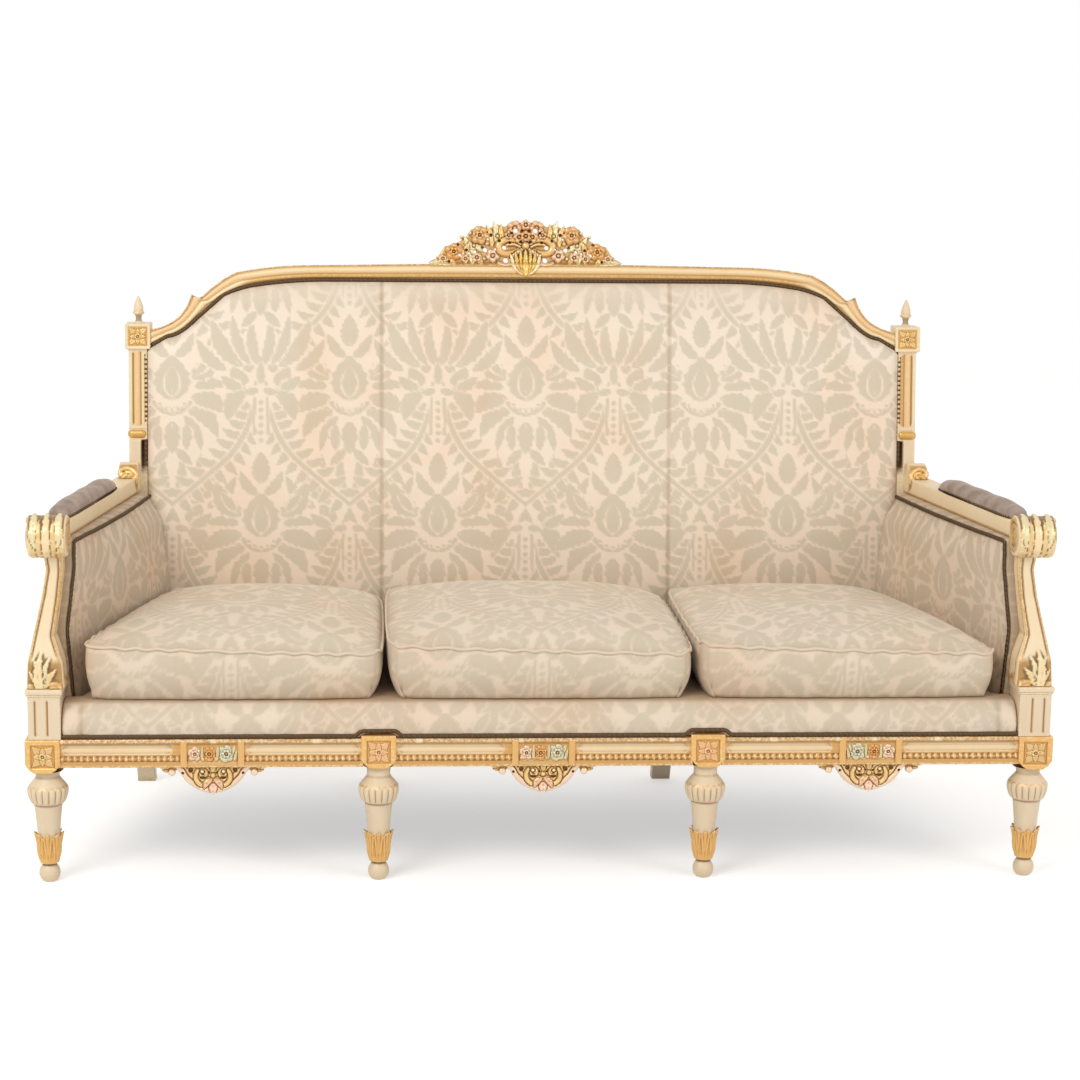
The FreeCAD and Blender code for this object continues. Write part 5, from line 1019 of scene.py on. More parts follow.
for side, name in ((-1, "left"), (1, "right")):
    z = heights[:, None]
    place = reed[None, :, 0] + 0 * z
    carved_part = step_up(end_gap(z, place, 792, 950, 19.5, 19.5, 0, 0), -0.5, 2.5)
    plain = np.interp(reed[:, 0], [0, 1, 38, 39], [-3.0, -0.8, -0.8, -3.0])[None, :]
    forward = plain * (1 - carved_part) + reed[None, :, 1] * carved_part
    neck = step_up(z, 690, 712) * (1 - step_up(z, 757, 765)) * step_up(place, 24, 27)
    forward = forward - neck * 22
    x = side * (POST_INNER + POST_WIDTH - place)
    front = np.stack([x, post_front(z) - forward, z + 0 * place], -1)
    ends = [np.stack([np.full(len(heights), side * edge), post_back(heights), heights], -1)
            for edge in (POST_INNER, POST_INNER + POST_WIDTH)]
    rings = np.concatenate([front, ends[0][:, None], ends[1][:, None]], 1) * mm
    at = np.concatenate([place, np.full((len(heights), 1), POST_WIDTH), np.zeros((len(heights), 1))], 1)
    worked = np.concatenate([carved_part, np.zeros((len(heights), 2))], 1)
    neck_shade = np.concatenate([neck, np.zeros((len(heights), 2))], 1)
    painted = (0.66, 0.41, 0.15)
    for edge, paint in ((32.8, (0.86, 0.71, 0.44)), (26.4, (0.50, 0.30, 0.10)), (24.2, (0.86, 0.58, 0.29)),
                        (11, (0.52, 0.31, 0.10)), (7, (0.86, 0.72, 0.47))):
        painted = np.where((at < edge)[..., None], paint, painted)
    # On the right post only, the inner part of the reed is painted darker amber: painted shade.
    if side > 0:
        painted = np.where((at > 24.2)[..., None], (0.62, 0.38, 0.14), painted)
    colour = tinted(worked, IVORY, painted)
    # The cut-back neck is painted near black-brown: painted shade in the recess.
    colour = tinted(neck_shade, colour, (0.20, 0.12, 0.05))
    gilt = worked * np.where((at > 7) & (at < 11) | (at > 32.8), 0.9, 0.1)
    rows, columns = rings.shape[:2]
    faces = grid_faces(rows, columns, close_columns=True)
    faces = (faces if side < 0 else faces[:, ::-1]).tolist()
    faces += [list(range(columns)), list(range((rows - 1) * columns, rows * columns))[::-1]]
    bar = (rings.reshape(-1, 3), faces, colour.reshape(-1, 3), gilt.reshape(-1))
    middle = side * POST_MIDDLE * mm
    block_front = post_front(BLOCK_BOTTOM) - 5
    block = die((middle - 26.5 * mm, block_front * mm, BLOCK_BOTTOM * mm),
                (middle + 26.5 * mm, (block_front + 55) * mm, BLOCK_TOP * mm),
                41, (0.88, 0.72, 0.46), 0.15, 0.0)
    block[0][:, 1] += (block[0][:, 2] - BLOCK_BOTTOM * mm) * math.tan(LEAN)
    ring_front = post_front(775.0)
    ring_x = sorted((side * (POST_INNER + 42.0), side * (POST_INNER + 1)))
    ring = rounded_block((ring_x[0] * mm, (ring_front - 3.5) * mm, 0.764),
                         (ring_x[1] * mm, (ring_front + 47) * mm, 0.786), 10.4 * mm, 1.6 * mm)
    parts = [bar, block, (*ring, (0.66, 0.40, 0.12), 1.0)]
    for bottom, top, grow in ((786.2, 792, 0.5), (757, 763, -0.5), (950.5, 954.5, 1.5)):
        fillet_front = post_front((bottom + top) / 2) - grow
        x_in = POST_INNER + (14 if bottom < 760 else 0)
        ends_x = sorted((side * x_in * mm, side * (POST_INNER + POST_WIDTH + grow) * mm))
        fillet = rounded_block((ends_x[0], fillet_front * mm, bottom * mm),
                               (ends_x[1], (fillet_front + 42) * mm, top * mm), 2.2 * mm, 2.0 * mm)
        parts.append((*fillet, (0.86, 0.70, 0.47), 0.0))
    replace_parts(carved(f"post_{name}", *joined(*parts), reach=1.5 * mm), f"rear_post_{name}")
TILE_MIDDLE = 980.5
block_tiles = []
for side in (-1, 1):
    def on_post(a, b, h):
        y = post_front(TILE_MIDDLE + b) - 1.2 - h * 0.75
        return np.stack([(side * POST_MIDDLE + a) * mm, y * mm, (TILE_MIDDLE + b) * mm], 1)

    block_tiles.append(relief_mesh(rosette(40, (0.72, 0.48, 0.19)), on_post, 0.2))
rosettes = carved("block_rosettes_carved", *joined(*block_tiles), reach=1.0 * mm, slot="gilt_carving")
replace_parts(rosettes, "block_rosettes")


# Finials: small turned knops with a waist, a sharp collar and a long bud, doweled into the blocks
# and painted like the posts, with a trace of gilding on the collar.
KNOP_SIDES = 40
profile = np.array([
    (0.2, -1), (9.6, -1), (10.0, 0.8), (9.2, 2.2), (7.4, 3.6), (6.2, 6.5), (5.9, 10), (6.2, 13.5),
    (7.2, 16.5), (9.0, 18.6), (11.6, 20.2), (12.5, 22.2), (11.8, 24.2), (9.6, 25.2), (9.9, 26.2),
    (10.3, 28.5), (10.2, 31.5), (9.3, 36), (7.8, 41), (6.0, 46), (4.2, 50.5), (2.8, 53.5), (1.9, 55.5), (1.0, 56.7), (0.1, 57)])
for side, name in ((-1, "left"), (1, "right")):
    angle = np.linspace(0, 2 * math.pi, KNOP_SIDES, endpoint=False)[None, :]
    radius, rise = profile[:, :1], profile[:, 1:]
    centre_y = post_front(BLOCK_TOP) + 22.5
    points = np.stack([side * POST_MIDDLE + radius * np.cos(angle), centre_y + radius * np.sin(angle),
                       BLOCK_TOP + rise + 0 * angle], -1).reshape(-1, 3) * mm
    faces = grid_faces(len(profile), KNOP_SIDES, close_columns=True).tolist()
    faces.append(list(range(KNOP_SIDES))[::-1])
    collar = np.exp(-((profile[:, 1] - 22) / 2.6) ** 2) * 0.55
    colour = np.repeat(tinted(collar, (0.84, 0.69, 0.47), (0.62, 0.40, 0.18)), KNOP_SIDES, 0)
    knop = carved(f"knop_{name}", points, faces, colour, np.repeat(collar, KNOP_SIDES), 1.0 * mm)
    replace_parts(knop, f"finial_{name}")


# Back upholstery: a stuffed back in three panels of cream damask, sewn with two upright seams and
# nailed to the frame's inner edge. The woven pattern has two large ornaments in offset columns.
COLUMN, REPEAT, WEAVE_STEP = 187.0, 580.0, 2.0


class Woven(Relief):
    """A pattern in the weave: grey-green forms with pale veins and edges on a pale satin ground."""

    def lay(self, inside, height, colour=GOLD, cut_round=2.5):
        value = np.where(inside > 0, 0.05 + 2.6 * np.clip(0.80 - height, 0, 0.34), 1.0)
        self.height = np.where(inside > -cut_round, value, self.height)

    def form(self, stalk_x, stalk_z, tip_x, tip_z, width, bend=0.0, teeth=0, veins=3):
        self.leaf((stalk_x, stalk_z), (tip_x, tip_z), width, 1.0, bend=bend, teeth=teeth, veins=veins)


# leaves and petals: stalk and tip, half width, bend, teeth and veins
CUP_FORMS = (
    (30, -20, 72, -92, 23, 0.12, 5, 5), (4, -26, 36, -32, 9), (72, 14, 136, 84, 17, -0.1, 6, 5),
    (38, 22, 104, 124, 22, -0.1, 7, 5), (22, 26, 60, 134, 15, -0.08, 6), (3, 22, 18, 126, 15, -0.08, 6),
    (28, -14, 62, 22, 19, -0.1, 0, 0), (40, -22, 84, 4, 15, -0.1, 4), (0, -14, 0, 34, 12, 0.0, 3))
VASE_FORMS = (
    (24, -64, 62, -142, 14, 0.1, 5), (30, -46, 98, -112, 23, 0.15, 5), (38, -26, 126, -62, 24, 0.1, 7, 6),
    (46, -4, 116, -4, 16, 0.1, 5), (30, -84, 30, -140, 15, 0.0, 4), (0, -76, 0, -146, 22, 0.0, 4),
    (8, -136, 42, -170, 13, 0.0, 3), (40, 12, 98, 84, 27, -0.12, 6, 4), (54, 24, 84, 62, 10),
    (6, 56, 46, 110, 15, -0.1, 4), (0, 80, 0, 150, 25, 0.0, 6, 5), (0, -34, 0, 62, 50, 0.0, 5, 5),
    (0, -24, 0, 40, 17))


def woven_tile():
    """One half repeat of the damask, from the middle of a column to the middle of the next."""
    u, v = np.meshgrid(np.arange(0, COLUMN + 0.1, WEAVE_STEP), np.arange(-REPEAT / 2, REPEAT / 2, WEAVE_STEP))
    tile = Woven(u, v)
    tile.height[:] = 1.0
    for middle, vase, cup in ((0.0, 0.0, -275.0), (COLUMN, -290.0, 15.0)):
        for shift in (-REPEAT, 0.0, REPEAT):
            tile.x, tile.z = np.abs(u - middle), v - cup - shift
            spine = bent([(16, -44), (27, -100), (60, -158), (120, -212), (190, -270)], 12)
            for x, z in spine[1:]:
                tile.form(x + 8, z + 12, x - 20, z - 38, 13.5, 0.12, 3, 0)
                tile.form(x - 8, z + 4, x + 44, z + 20, 12, -0.12, 3, 0)
            stroke(tile, spine, (3, 6.5, 5.5, 4.5), 1.0)
            stroke(tile, [(13, -26), (15, -120)], (4, 3), 1.0)
            for index in range(6):
                tile.ball(0, -52 - index * 16, 6.5, 1.0)
            for leaf in CUP_FORMS:
                tile.form(*leaf)
            tile.z = v - vase - shift
            for leaf in VASE_FORMS:
                tile.form(*leaf)
            stroke(tile, bent([(0, -56), (20, -52), (38, -38)]), (11, 9, 6), 1.0)
            for index in range(3):
                tile.ball(index * 13, -54 + index * index * 3.2, 4.5, 1.0)
    soft = (tile.height + np.roll(tile.height, 1, 0) + np.roll(tile.height, -1, 0)) / 3
    wide = np.pad(soft, ((0, 0), (1, 1)), mode="edge")
    return (wide[:, :-2] + wide[:, 1:-1] + wide[:, 2:]) / 3


WOVEN_TILE = woven_tile()


def damask(u, v):
    """The pattern's strength at places on the cloth, in millimetres from the middle ornament."""
    fold = np.abs(((u + COLUMN) % (2 * COLUMN)) - COLUMN)
    rows, columns = WOVEN_TILE.shape
    across = np.clip(fold / WEAVE_STEP, 0, columns - 1.001)
    along = ((v + REPEAT / 2) % REPEAT) / WEAVE_STEP
    i, j = along.astype(int) % rows, across.astype(int)
    a, b = along - along.astype(int), across - j
    i2, j2 = (i + 1) % rows, np.minimum(j + 1, columns - 1)
    value = ((WOVEN_TILE[i, j] * (1 - b) + WOVEN_TILE[i, j2] * b) * (1 - a)
             + (WOVEN_TILE[i2, j] * (1 - b) + WOVEN_TILE[i2, j2] * b) * a)
    return 0.3 * value + 0.7 * step_up(value, 0.30, 0.72)


def damask_cloth():
    """Silky cream damask: matt ground, satin pattern, a fine cross weave and faint old stains."""
    material, tree, shader = new_material("cream damask", Roughness=0.62)
    pattern = attribute(tree, "pattern")
    shade = attribute(tree, "shade")
    broad = clouds(tree, 5.0, 3.0, 0.55)
    thread = clouds(tree, 900.0, 2.0, 0.6, (1, 1, 0.18))
    weft = clouds(tree, 900.0, 2.0, 0.6, (0.18, 1, 1))
    cloth = blend_colour(tree, scaled(tree, pattern, 0.1, 0.85), (0.725, 0.645, 0.515), (0.935, 0.81, 0.675))
    stained = blend_colour(tree, scaled(tree, broad, 0.48, 0.7, 0.0, 0.6), cloth, (0.98, 0.86, 0.76),
                           "MULTIPLY")
    slubbed = blend_colour(tree, scaled(tree, thread, 0.35, 0.7, 0.0, 0.16), stained, (0.80, 0.74, 0.68),
                           "MULTIPLY")
    darker = blend_colour(tree, shade, slubbed, (0.52, 0.40, 0.28), "MULTIPLY")
    tree.links.new(darker, shader.inputs["Base Color"])
    tree.links.new(scaled(tree, pattern, 0.0, 1.0, 0.72, 0.46), shader.inputs["Roughness"])
    weave = new_node(tree, "Math", operation="ADD", inputs={0: thread, 1: weft})
    raised = new_node(tree, "Math", operation="MULTIPLY_ADD",
                      inputs={0: pattern, 1: -0.8, 2: weave.outputs[0]})
    roughen(tree, shader, raised.outputs[0], 0.30, 0.0007)
    shader.inputs["Sheen Weight"].default_value = 0.18
    shader.inputs["Sheen Roughness"].default_value = 0.45
    return material


show_damask = damask_cloth()


def covered(name, points, faces, pattern, shade, body="frame", material=None, slot="damask"):
    """A piece covered in the damask; pattern and shade are given for each point."""
    piece = plain_piece(name, points, faces, material or show_damask, slot, body)
    count = len(piece.data.vertices)
    for title, values in (("pattern", pattern), ("shade", shade)):
        values = np.ascontiguousarray(np.broadcast_to(values, count), float)
        piece.data.attributes.new(title, "FLOAT", "POINT").data.foreach_set("value", values)
    return piece


opening = inner_edge[np.abs(inner_edge[:, 0]) < 795]
PAD_HALF, SEAM_X = 800.6, 306
outline = np.concatenate([[[-PAD_HALF, -39], [-PAD_HALF, 563]], opening, [[PAD_HALF, 563], [PAD_HALF, -39]]])
u, v = np.meshgrid(np.arange(-804, 804.1, 4.0), np.arange(-43, 716, 4.0))
pad = Relief(u, v)
plate(pad, outline, 1.0)
edge = np.clip(pad.inside, 0, None)
from_seam = np.abs(u) - SEAM_X
seam = np.exp(-(from_seam / 3.2) ** 2)
near_seam = np.exp(-(from_seam / 26) ** 2)
pucker = 0.7 * np.sin(v / 11 + np.sin(v / 47) * 2) * np.exp(-np.abs(from_seam) / 20)
pucker += 0.6 * np.sin((u + v) / 9) * np.exp(-edge / 16)
swell = 15.0 * (1 - np.exp(-edge / 9)) + 8.5 * (1 - np.exp(-edge / 90))
pad.height = np.clip(swell - 2.2 * near_seam - 3.2 * seam + pucker, 0.3, 24)
HEART = 493.0
pattern = damask(u, v - HEART)
fade = 1 - 0.62 * step_up(v, 630, 700)
# Along the seams the pattern value is lowered, darkening the cloth: painted shade in the seam.
pattern = 0.62 + (pattern - 0.62) * fade - 0.3 * seam
shade = 0.30 * step_up(-v, -330, -40) + 0.5 * seam + 0.30 * np.exp(-edge / 7) + 0.12 * step_up(v, 600, 700)


def closed_pad(relief, place, back):
    """Keeps the cells inside an outline and closes them with one face behind; gives the points kept."""
    x, z, used, faces, keep_point = cells_inside(relief, 5)
    faces = faces[:, ::-1]
    front = place(x, z, np.where(keep_point, relief.height, 0.2).ravel()[used])
    edges = np.concatenate([faces[:, [i, (i + 1) % 4]] for i in range(4)]).tolist()
    known = {(a, b) for a, b in edges}
    after = {a: b for a, b in known if (b, a) not in known}
    loop = [next(iter(after))]
    while after[loop[-1]] != loop[0]:
        loop.append(after[loop[-1]])
    count, size = len(used), len(loop)
    behind = place(x[loop], z[loop], np.full(size, -back))
    walls = [[loop[(i + 1) % size], loop[i], count + i, count + (i + 1) % size] for i in range(size)]
    all_faces = faces.tolist() + walls + [[count + i for i in range(size)]]
    return np.concatenate([front, behind]), all_faces, np.concatenate([used, used[loop]])


points, faces, used = closed_pad(pad, lambda a, b, h: on_back(a * mm, b * mm, h * mm), 14.0)
back_pad = covered("back_pad_damask", points, faces, pattern.ravel()[used], shade.ravel()[used])
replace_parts(back_pad, "back_upholstery")
nail_way = np.gradient(opening, axis=0)
nail_way = np.stack([-nail_way[:, 1], nail_way[:, 0]], 1) / np.hypot(*nail_way.T)[:, None]
nail_x = PAD_HALF + 4
nail_line = np.concatenate([[[-nail_x, 336.2], [-nail_x, 566]], opening + nail_way * 4,
                            [[nail_x, 566], [nail_x, 336.2]]])
nail_path = on_back(nail_line[:, 0] * mm, nail_line[:, 1] * mm, -0.0035)
forward = on_back(0, 0, 1.0) - on_back(0, 0, 0.0)
nails = plain_piece("back_row_nails", *two_sets(nail_heads(nail_path, forward), ribbon(nail_path, forward)),
                    show_bronze, "bronze_nails")
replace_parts(nails, "back_nails")


# Loose cushions: three box cushions, feather filled, with a crowned top, an upright boxing and a
# corded welt sewn in round the top and the bottom edge. They lie side by side on the seat.
UP = (0, 0, 1.0)
BOXING_LEVELS = np.linspace(1, 0, 16)[1:]


def cushion(name, left, right, rear_left, rear_right, crown, seed):
    """A box cushion from its plan: front and rear corners, and the height of its crown."""
    chance = np.random.default_rng(seed)
    front_y, rear_y, low_z = -352.5, 215.5, 353.2
    s, t = np.meshgrid(np.linspace(-1, 1, 131), np.linspace(-1, 1, 129))
    share = (t + 1) / 2
    seam_z = 449.0 - 8.0 * s
    x_left, x_right = left + (rear_left - left) * share, right + (rear_right - right) * share
    middle_x = (left + right) / 2
    pull = (np.abs(s) ** 12) * (np.abs(t) ** 12)
    x = x_left + (x_right - x_left) * (s + 1) / 2
    y = front_y + (rear_y - front_y) * share
    bow = 4.5 * (1 - t ** 2) * np.abs(s) ** 3
    x = x - np.sign(s) * pull * 13 + np.sign(s) * (bow - 4.5 * np.abs(s) ** 3)
    y = y - np.sign(t) * pull * 13 + np.sign(t) * (5.0 * (1 - s ** 2) - 5.0) * np.abs(t) ** 3
    dome = ((1 - np.abs(s) ** 3.2) ** 0.62) * ((1 - np.abs(t) ** 3.0) ** 0.62)
    lumps = sum(chance.uniform(0.6, 1.4) * np.sin(s * chance.uniform(2, 6) + chance.uniform(0, 6))
                * np.sin(t * chance.uniform(2, 6) + chance.uniform(0, 6)) for _ in range(5))
    inset = np.minimum(1 - np.abs(s), 1 - np.abs(t)) * 290
    creases = np.sin(np.where(np.abs(s) > np.abs(t), y, x) / 8.0 + 2.2 * np.sin((x + y) / 60) + seed)
    corner = np.exp(-((1 - np.abs(s)) ** 2 + (1 - np.abs(t)) ** 2) / 0.05)
    drag = np.sin((np.abs(s) - np.abs(t)) * 26) * corner
    z = seam_z + (crown - seam_z) * dome + dome * lumps + creases * 1.5 * np.exp(-inset / 22) + drag * 2.4
    z = np.minimum(z, crown)
    rows, columns = x.shape
    number = np.arange(rows * columns).reshape(rows, columns)
    top = np.stack([x, y, z], -1).reshape(-1, 3)
    ring = np.concatenate([number[0, :-1], number[:-1, -1], number[-1, :0:-1], number[:0:-1, 0]])
    edge_points = top[ring]
    count, size = len(top), len(ring)
    centre = np.array([middle_x, (front_y + rear_y) / 2, 0])
    toward = edge_points - centre
    out = np.stack([np.sign(toward[:, 0]) * (np.abs(toward[:, 0]) > np.abs(toward[:, 1]) * 0.98),
                    np.sign(toward[:, 1]) * (np.abs(toward[:, 1]) >= np.abs(toward[:, 0]) * 0.98)], 1)
    run = np.arange(size) * 4.5
    boxing = []
    for rise in BOXING_LEVELS:
        ripple = np.sin(run / 9 + np.sin(run / 50) * 3)
        bulge = 3.6 * np.sin(math.pi * rise) + ripple * (0.9 * (2 * rise - 1) ** 2)
        bulge -= 15.0 * (1 - rise) ** 3
        level = low_z + (edge_points[:, 2] - low_z) * rise
        boxing.append(np.column_stack([edge_points[:, :2] + out * bulge[:, None], level]))
    points = np.concatenate([top] + boxing)
    faces = grid_faces(rows, columns).tolist()

    def number_of(row, index):
        return ring[index % size] if row == 0 else count + (row - 1) * size + index % size

    for row in range(len(boxing)):
        for index in range(size):
            faces.append([number_of(row, index + 1), number_of(row, index), number_of(row + 1, index),
                          number_of(row + 1, index + 1)])
    faces.append([number_of(len(boxing), index) for index in range(size)][::-1])
    top_pattern = damask(x - middle_x, y + 60).reshape(-1)
    along = np.where(np.abs(out[:, 1]) > 0, edge_points[:, 0] - middle_x, edge_points[:, 1])
    side_pattern = [damask(along, front_y - 5 - (450 - level) + 60 + 0 * along)
                    for level in np.linspace(450, low_z, 16)[1:]]
    pattern = 0.42 + (np.concatenate([top_pattern] + side_pattern) - 0.5) * 0.62
    top_shade = (0.14 + 0.28 * np.exp(-inset / 9)).reshape(-1)
    side_shade = [np.full(size, 0.20 + 0.34 * (1 - rise) ** 2) for rise in BOXING_LEVELS]
    shade = np.concatenate([top_shade] + side_shade)
    welt = edge_points + np.column_stack([out * 1.2, np.zeros(size)])
    ahead = np.roll(welt, -1, 0) - np.roll(welt, 1, 0)
    ahead /= np.linalg.norm(ahead, axis=1, keepdims=True)
    side = np.cross(ahead, UP)
    tube = np.stack([welt + 3.1 * (side * math.cos(a) + np.array(UP) * math.sin(a))
                     for a in np.linspace(0, 2 * math.pi, 8, endpoint=False)], 1).reshape(-1, 3)
    faces += grid_faces(size, 8, True, True, start=len(points))[:, ::-1].tolist()
    points = np.concatenate([points, tube])
    pattern = np.append(pattern, np.full(len(tube), 0.55))
    shade = np.append(shade, np.full(len(tube), 0.26))
    piece = covered(f"loose_cushion_{name}", points * mm, faces, pattern, shade, f"cushion_{name}")
    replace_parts(piece, f"seat_cushion_{name}")


cushion("left", -878, -305.5, -744, -305.5, 494, 3)
cushion("centre", -296.5, 288.5, -296.5, 288.5, 504, 7)
cushion("right", 298, 878, 298, 744, 494, 11)


# Arm supports: carved from solid beech, sweeping in from the corner post to the neck under the
# scroll. The face has gilded edges, a leaf with two curls at its foot, and a volute on the inside.
def reshaped(node, cell=0.0, smooth=4):
    """A sub-part's own shape as points and faces; with a cell size it is meshed anew and softened."""
    source = bpy.data.objects[node]
    mesh = source.data.copy()
    mesh.transform(source.matrix_world)
    if not cell:
        cut = bmesh.new()
        cut.from_mesh(mesh)
        bmesh.ops.remove_doubles(cut, verts=cut.verts, dist=1e-5)
        for _ in range(7):
            bmesh.ops.triangulate(cut, faces=cut.faces)
            long_edges = [line for line in cut.edges if line.calc_length() > 0.045]
            bmesh.ops.subdivide_edges(cut, edges=long_edges, cuts=1)
        bmesh.ops.triangulate(cut, faces=cut.faces)
        cut.to_mesh(mesh)
        cut.free()
    else:
        temporary = bpy.data.objects.new(node + "_again", mesh)
        bpy.context.collection.objects.link(temporary)
        anew = temporary.modifiers.new("anew", "REMESH")
        anew.mode = "VOXEL"
        anew.voxel_size = cell
        soft = temporary.modifiers.new("soft", "SMOOTH")
        soft.iterations = smooth
        result = temporary.evaluated_get(bpy.context.evaluated_depsgraph_get())
        mesh = bpy.data.meshes.new_from_object(result)
        bpy.data.objects.remove(temporary)
    points = np.array([vertex.co for vertex in mesh.vertices])
    normals = np.array([vertex.normal for vertex in mesh.vertices])
    return points, [list(face.vertices) for face in mesh.polygons], normals


LEG_X = LEG_PITCH * 1.5
OLD_GOLD = (0.66, 0.40, 0.13)
CREAM = (0.90, 0.74, 0.50)
LEAF_GOLD = (0.80, 0.60, 0.30)
LEAF_CREAM = (0.88, 0.70, 0.42)
for side, name in ((-1, "left"), (1, "right")):
    points, faces, normals = reshaped(f"arm_support_{name}", 2.1 * mm, 5)
    z = points[:, 2] / mm
    place = side * points[:, 0] / mm - LEG_X
    levels = np.arange(358, 652, 6.0)
    spans = [(place[np.abs(z - level) < 4].min(), place[np.abs(z - level) < 4].max()) for level in levels]
    inner, outer = (np.interp(z, levels, edges) for edges in zip(*spans))
    facing = step_up(-normals[:, 1], 0.40, 0.75)
    edge = np.minimum(place - inner, outer - place)
    relief = Relief(place, z)
    relief.height[:] = 0
    stroke(relief, spiral(-20, 378, 14, 3, 1.6, 0.9), (4.6, 2.4), 7.0, OLD_GOLD)
    stroke(relief, spiral(24, 377, 11, 3, -1.6, 2.2), (4.2, 2.2), 7.0, OLD_GOLD)
    for start, finish, width, paint in (
            ((4, 372), (-24, 418), 9, LEAF_GOLD), ((6, 372), (27, 414), 8, LEAF_GOLD),
            ((4, 366), (-12, 440), 9, LEAF_GREEN), ((4, 366), (19, 438), 8.5, LEAF_GREEN),
            ((3, 360), (3, 452), 10.5, LEAF_CREAM)):
        relief.leaf(start, finish, width, 8.5, paint, bend=0.08 * np.sign(finish[0] - 4), teeth=5, veins=5)
    # Two shallow holes painted dark: painted shade.
    for hole in (-7, 13):
        shaded_hole(relief, hole, 444, 3.4)
    front_share = facing * (relief.inside > 0)
    groove = np.exp(-((edge - 7.4) / 1.8) ** 2) * step_up(z, 430, 452) * facing
    bead = np.sqrt(np.clip(1 - ((edge - 3.2) / 3.6) ** 2, 0, 1)) * step_up(z, 430, 452) * facing
    forward = relief.height.clip(0) * 0.62 + 1.2 * bead - 2.6 * groove - 1.6 * step_up(-z, -450, -436)
    points = points - np.array([0, 1, 0]) * (facing * forward * mm)[:, None]
    inner_side = step_up(-side * normals[:, 0], 0.5, 0.8)
    wound = Relief(points[:, 1] / mm, z)
    wound.height[:] = 0
    stroke(wound, spiral(-338, 384, 20, 4, -1.7, 0.4), (4.0, 2.4), 5.0, OLD_GOLD)
    stroke(wound, [(-352, 400), (-345, 470), (-331, 560), (-330, 632)], (2.4, 2.0), 3.0, OLD_GOLD)
    stroke(wound, [(-312, 380), (-308, 470), (-306, 632)], (2.4, 2.0), 3.0, OLD_GOLD)
    points[:, 0] -= side * inner_side * wound.height.clip(0) * 0.45 * mm
    gold_edge = facing * (1 - step_up(edge, 5.4, 7.4))
    colour = tinted(gold_edge, np.broadcast_to(CREAM, points.shape), OLD_GOLD)
    # The cut groove is painted dark brown: painted shade.
    colour = tinted(groove * 0.8, colour, (0.40, 0.22, 0.06))
    # The sunk front round the foot leaf is painted dark brown: painted shade between the leaves.
    colour = tinted(facing * step_up(-z, -440, -425), colour, (0.46, 0.27, 0.09))
    colour = colour * (1 - front_share[:, None]) + relief.colour * front_share[:, None]
    on_side = inner_side * (wound.inside > 0)
    colour = tinted(on_side, colour, OLD_GOLD)
    gilt = np.maximum(gold_edge, on_side) + front_share * 0.5
    support = carved(f"support_{name}", points, faces, colour, gilt.clip(0, 1), 0.8 * mm)
    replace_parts(support, f"arm_support_{name}")


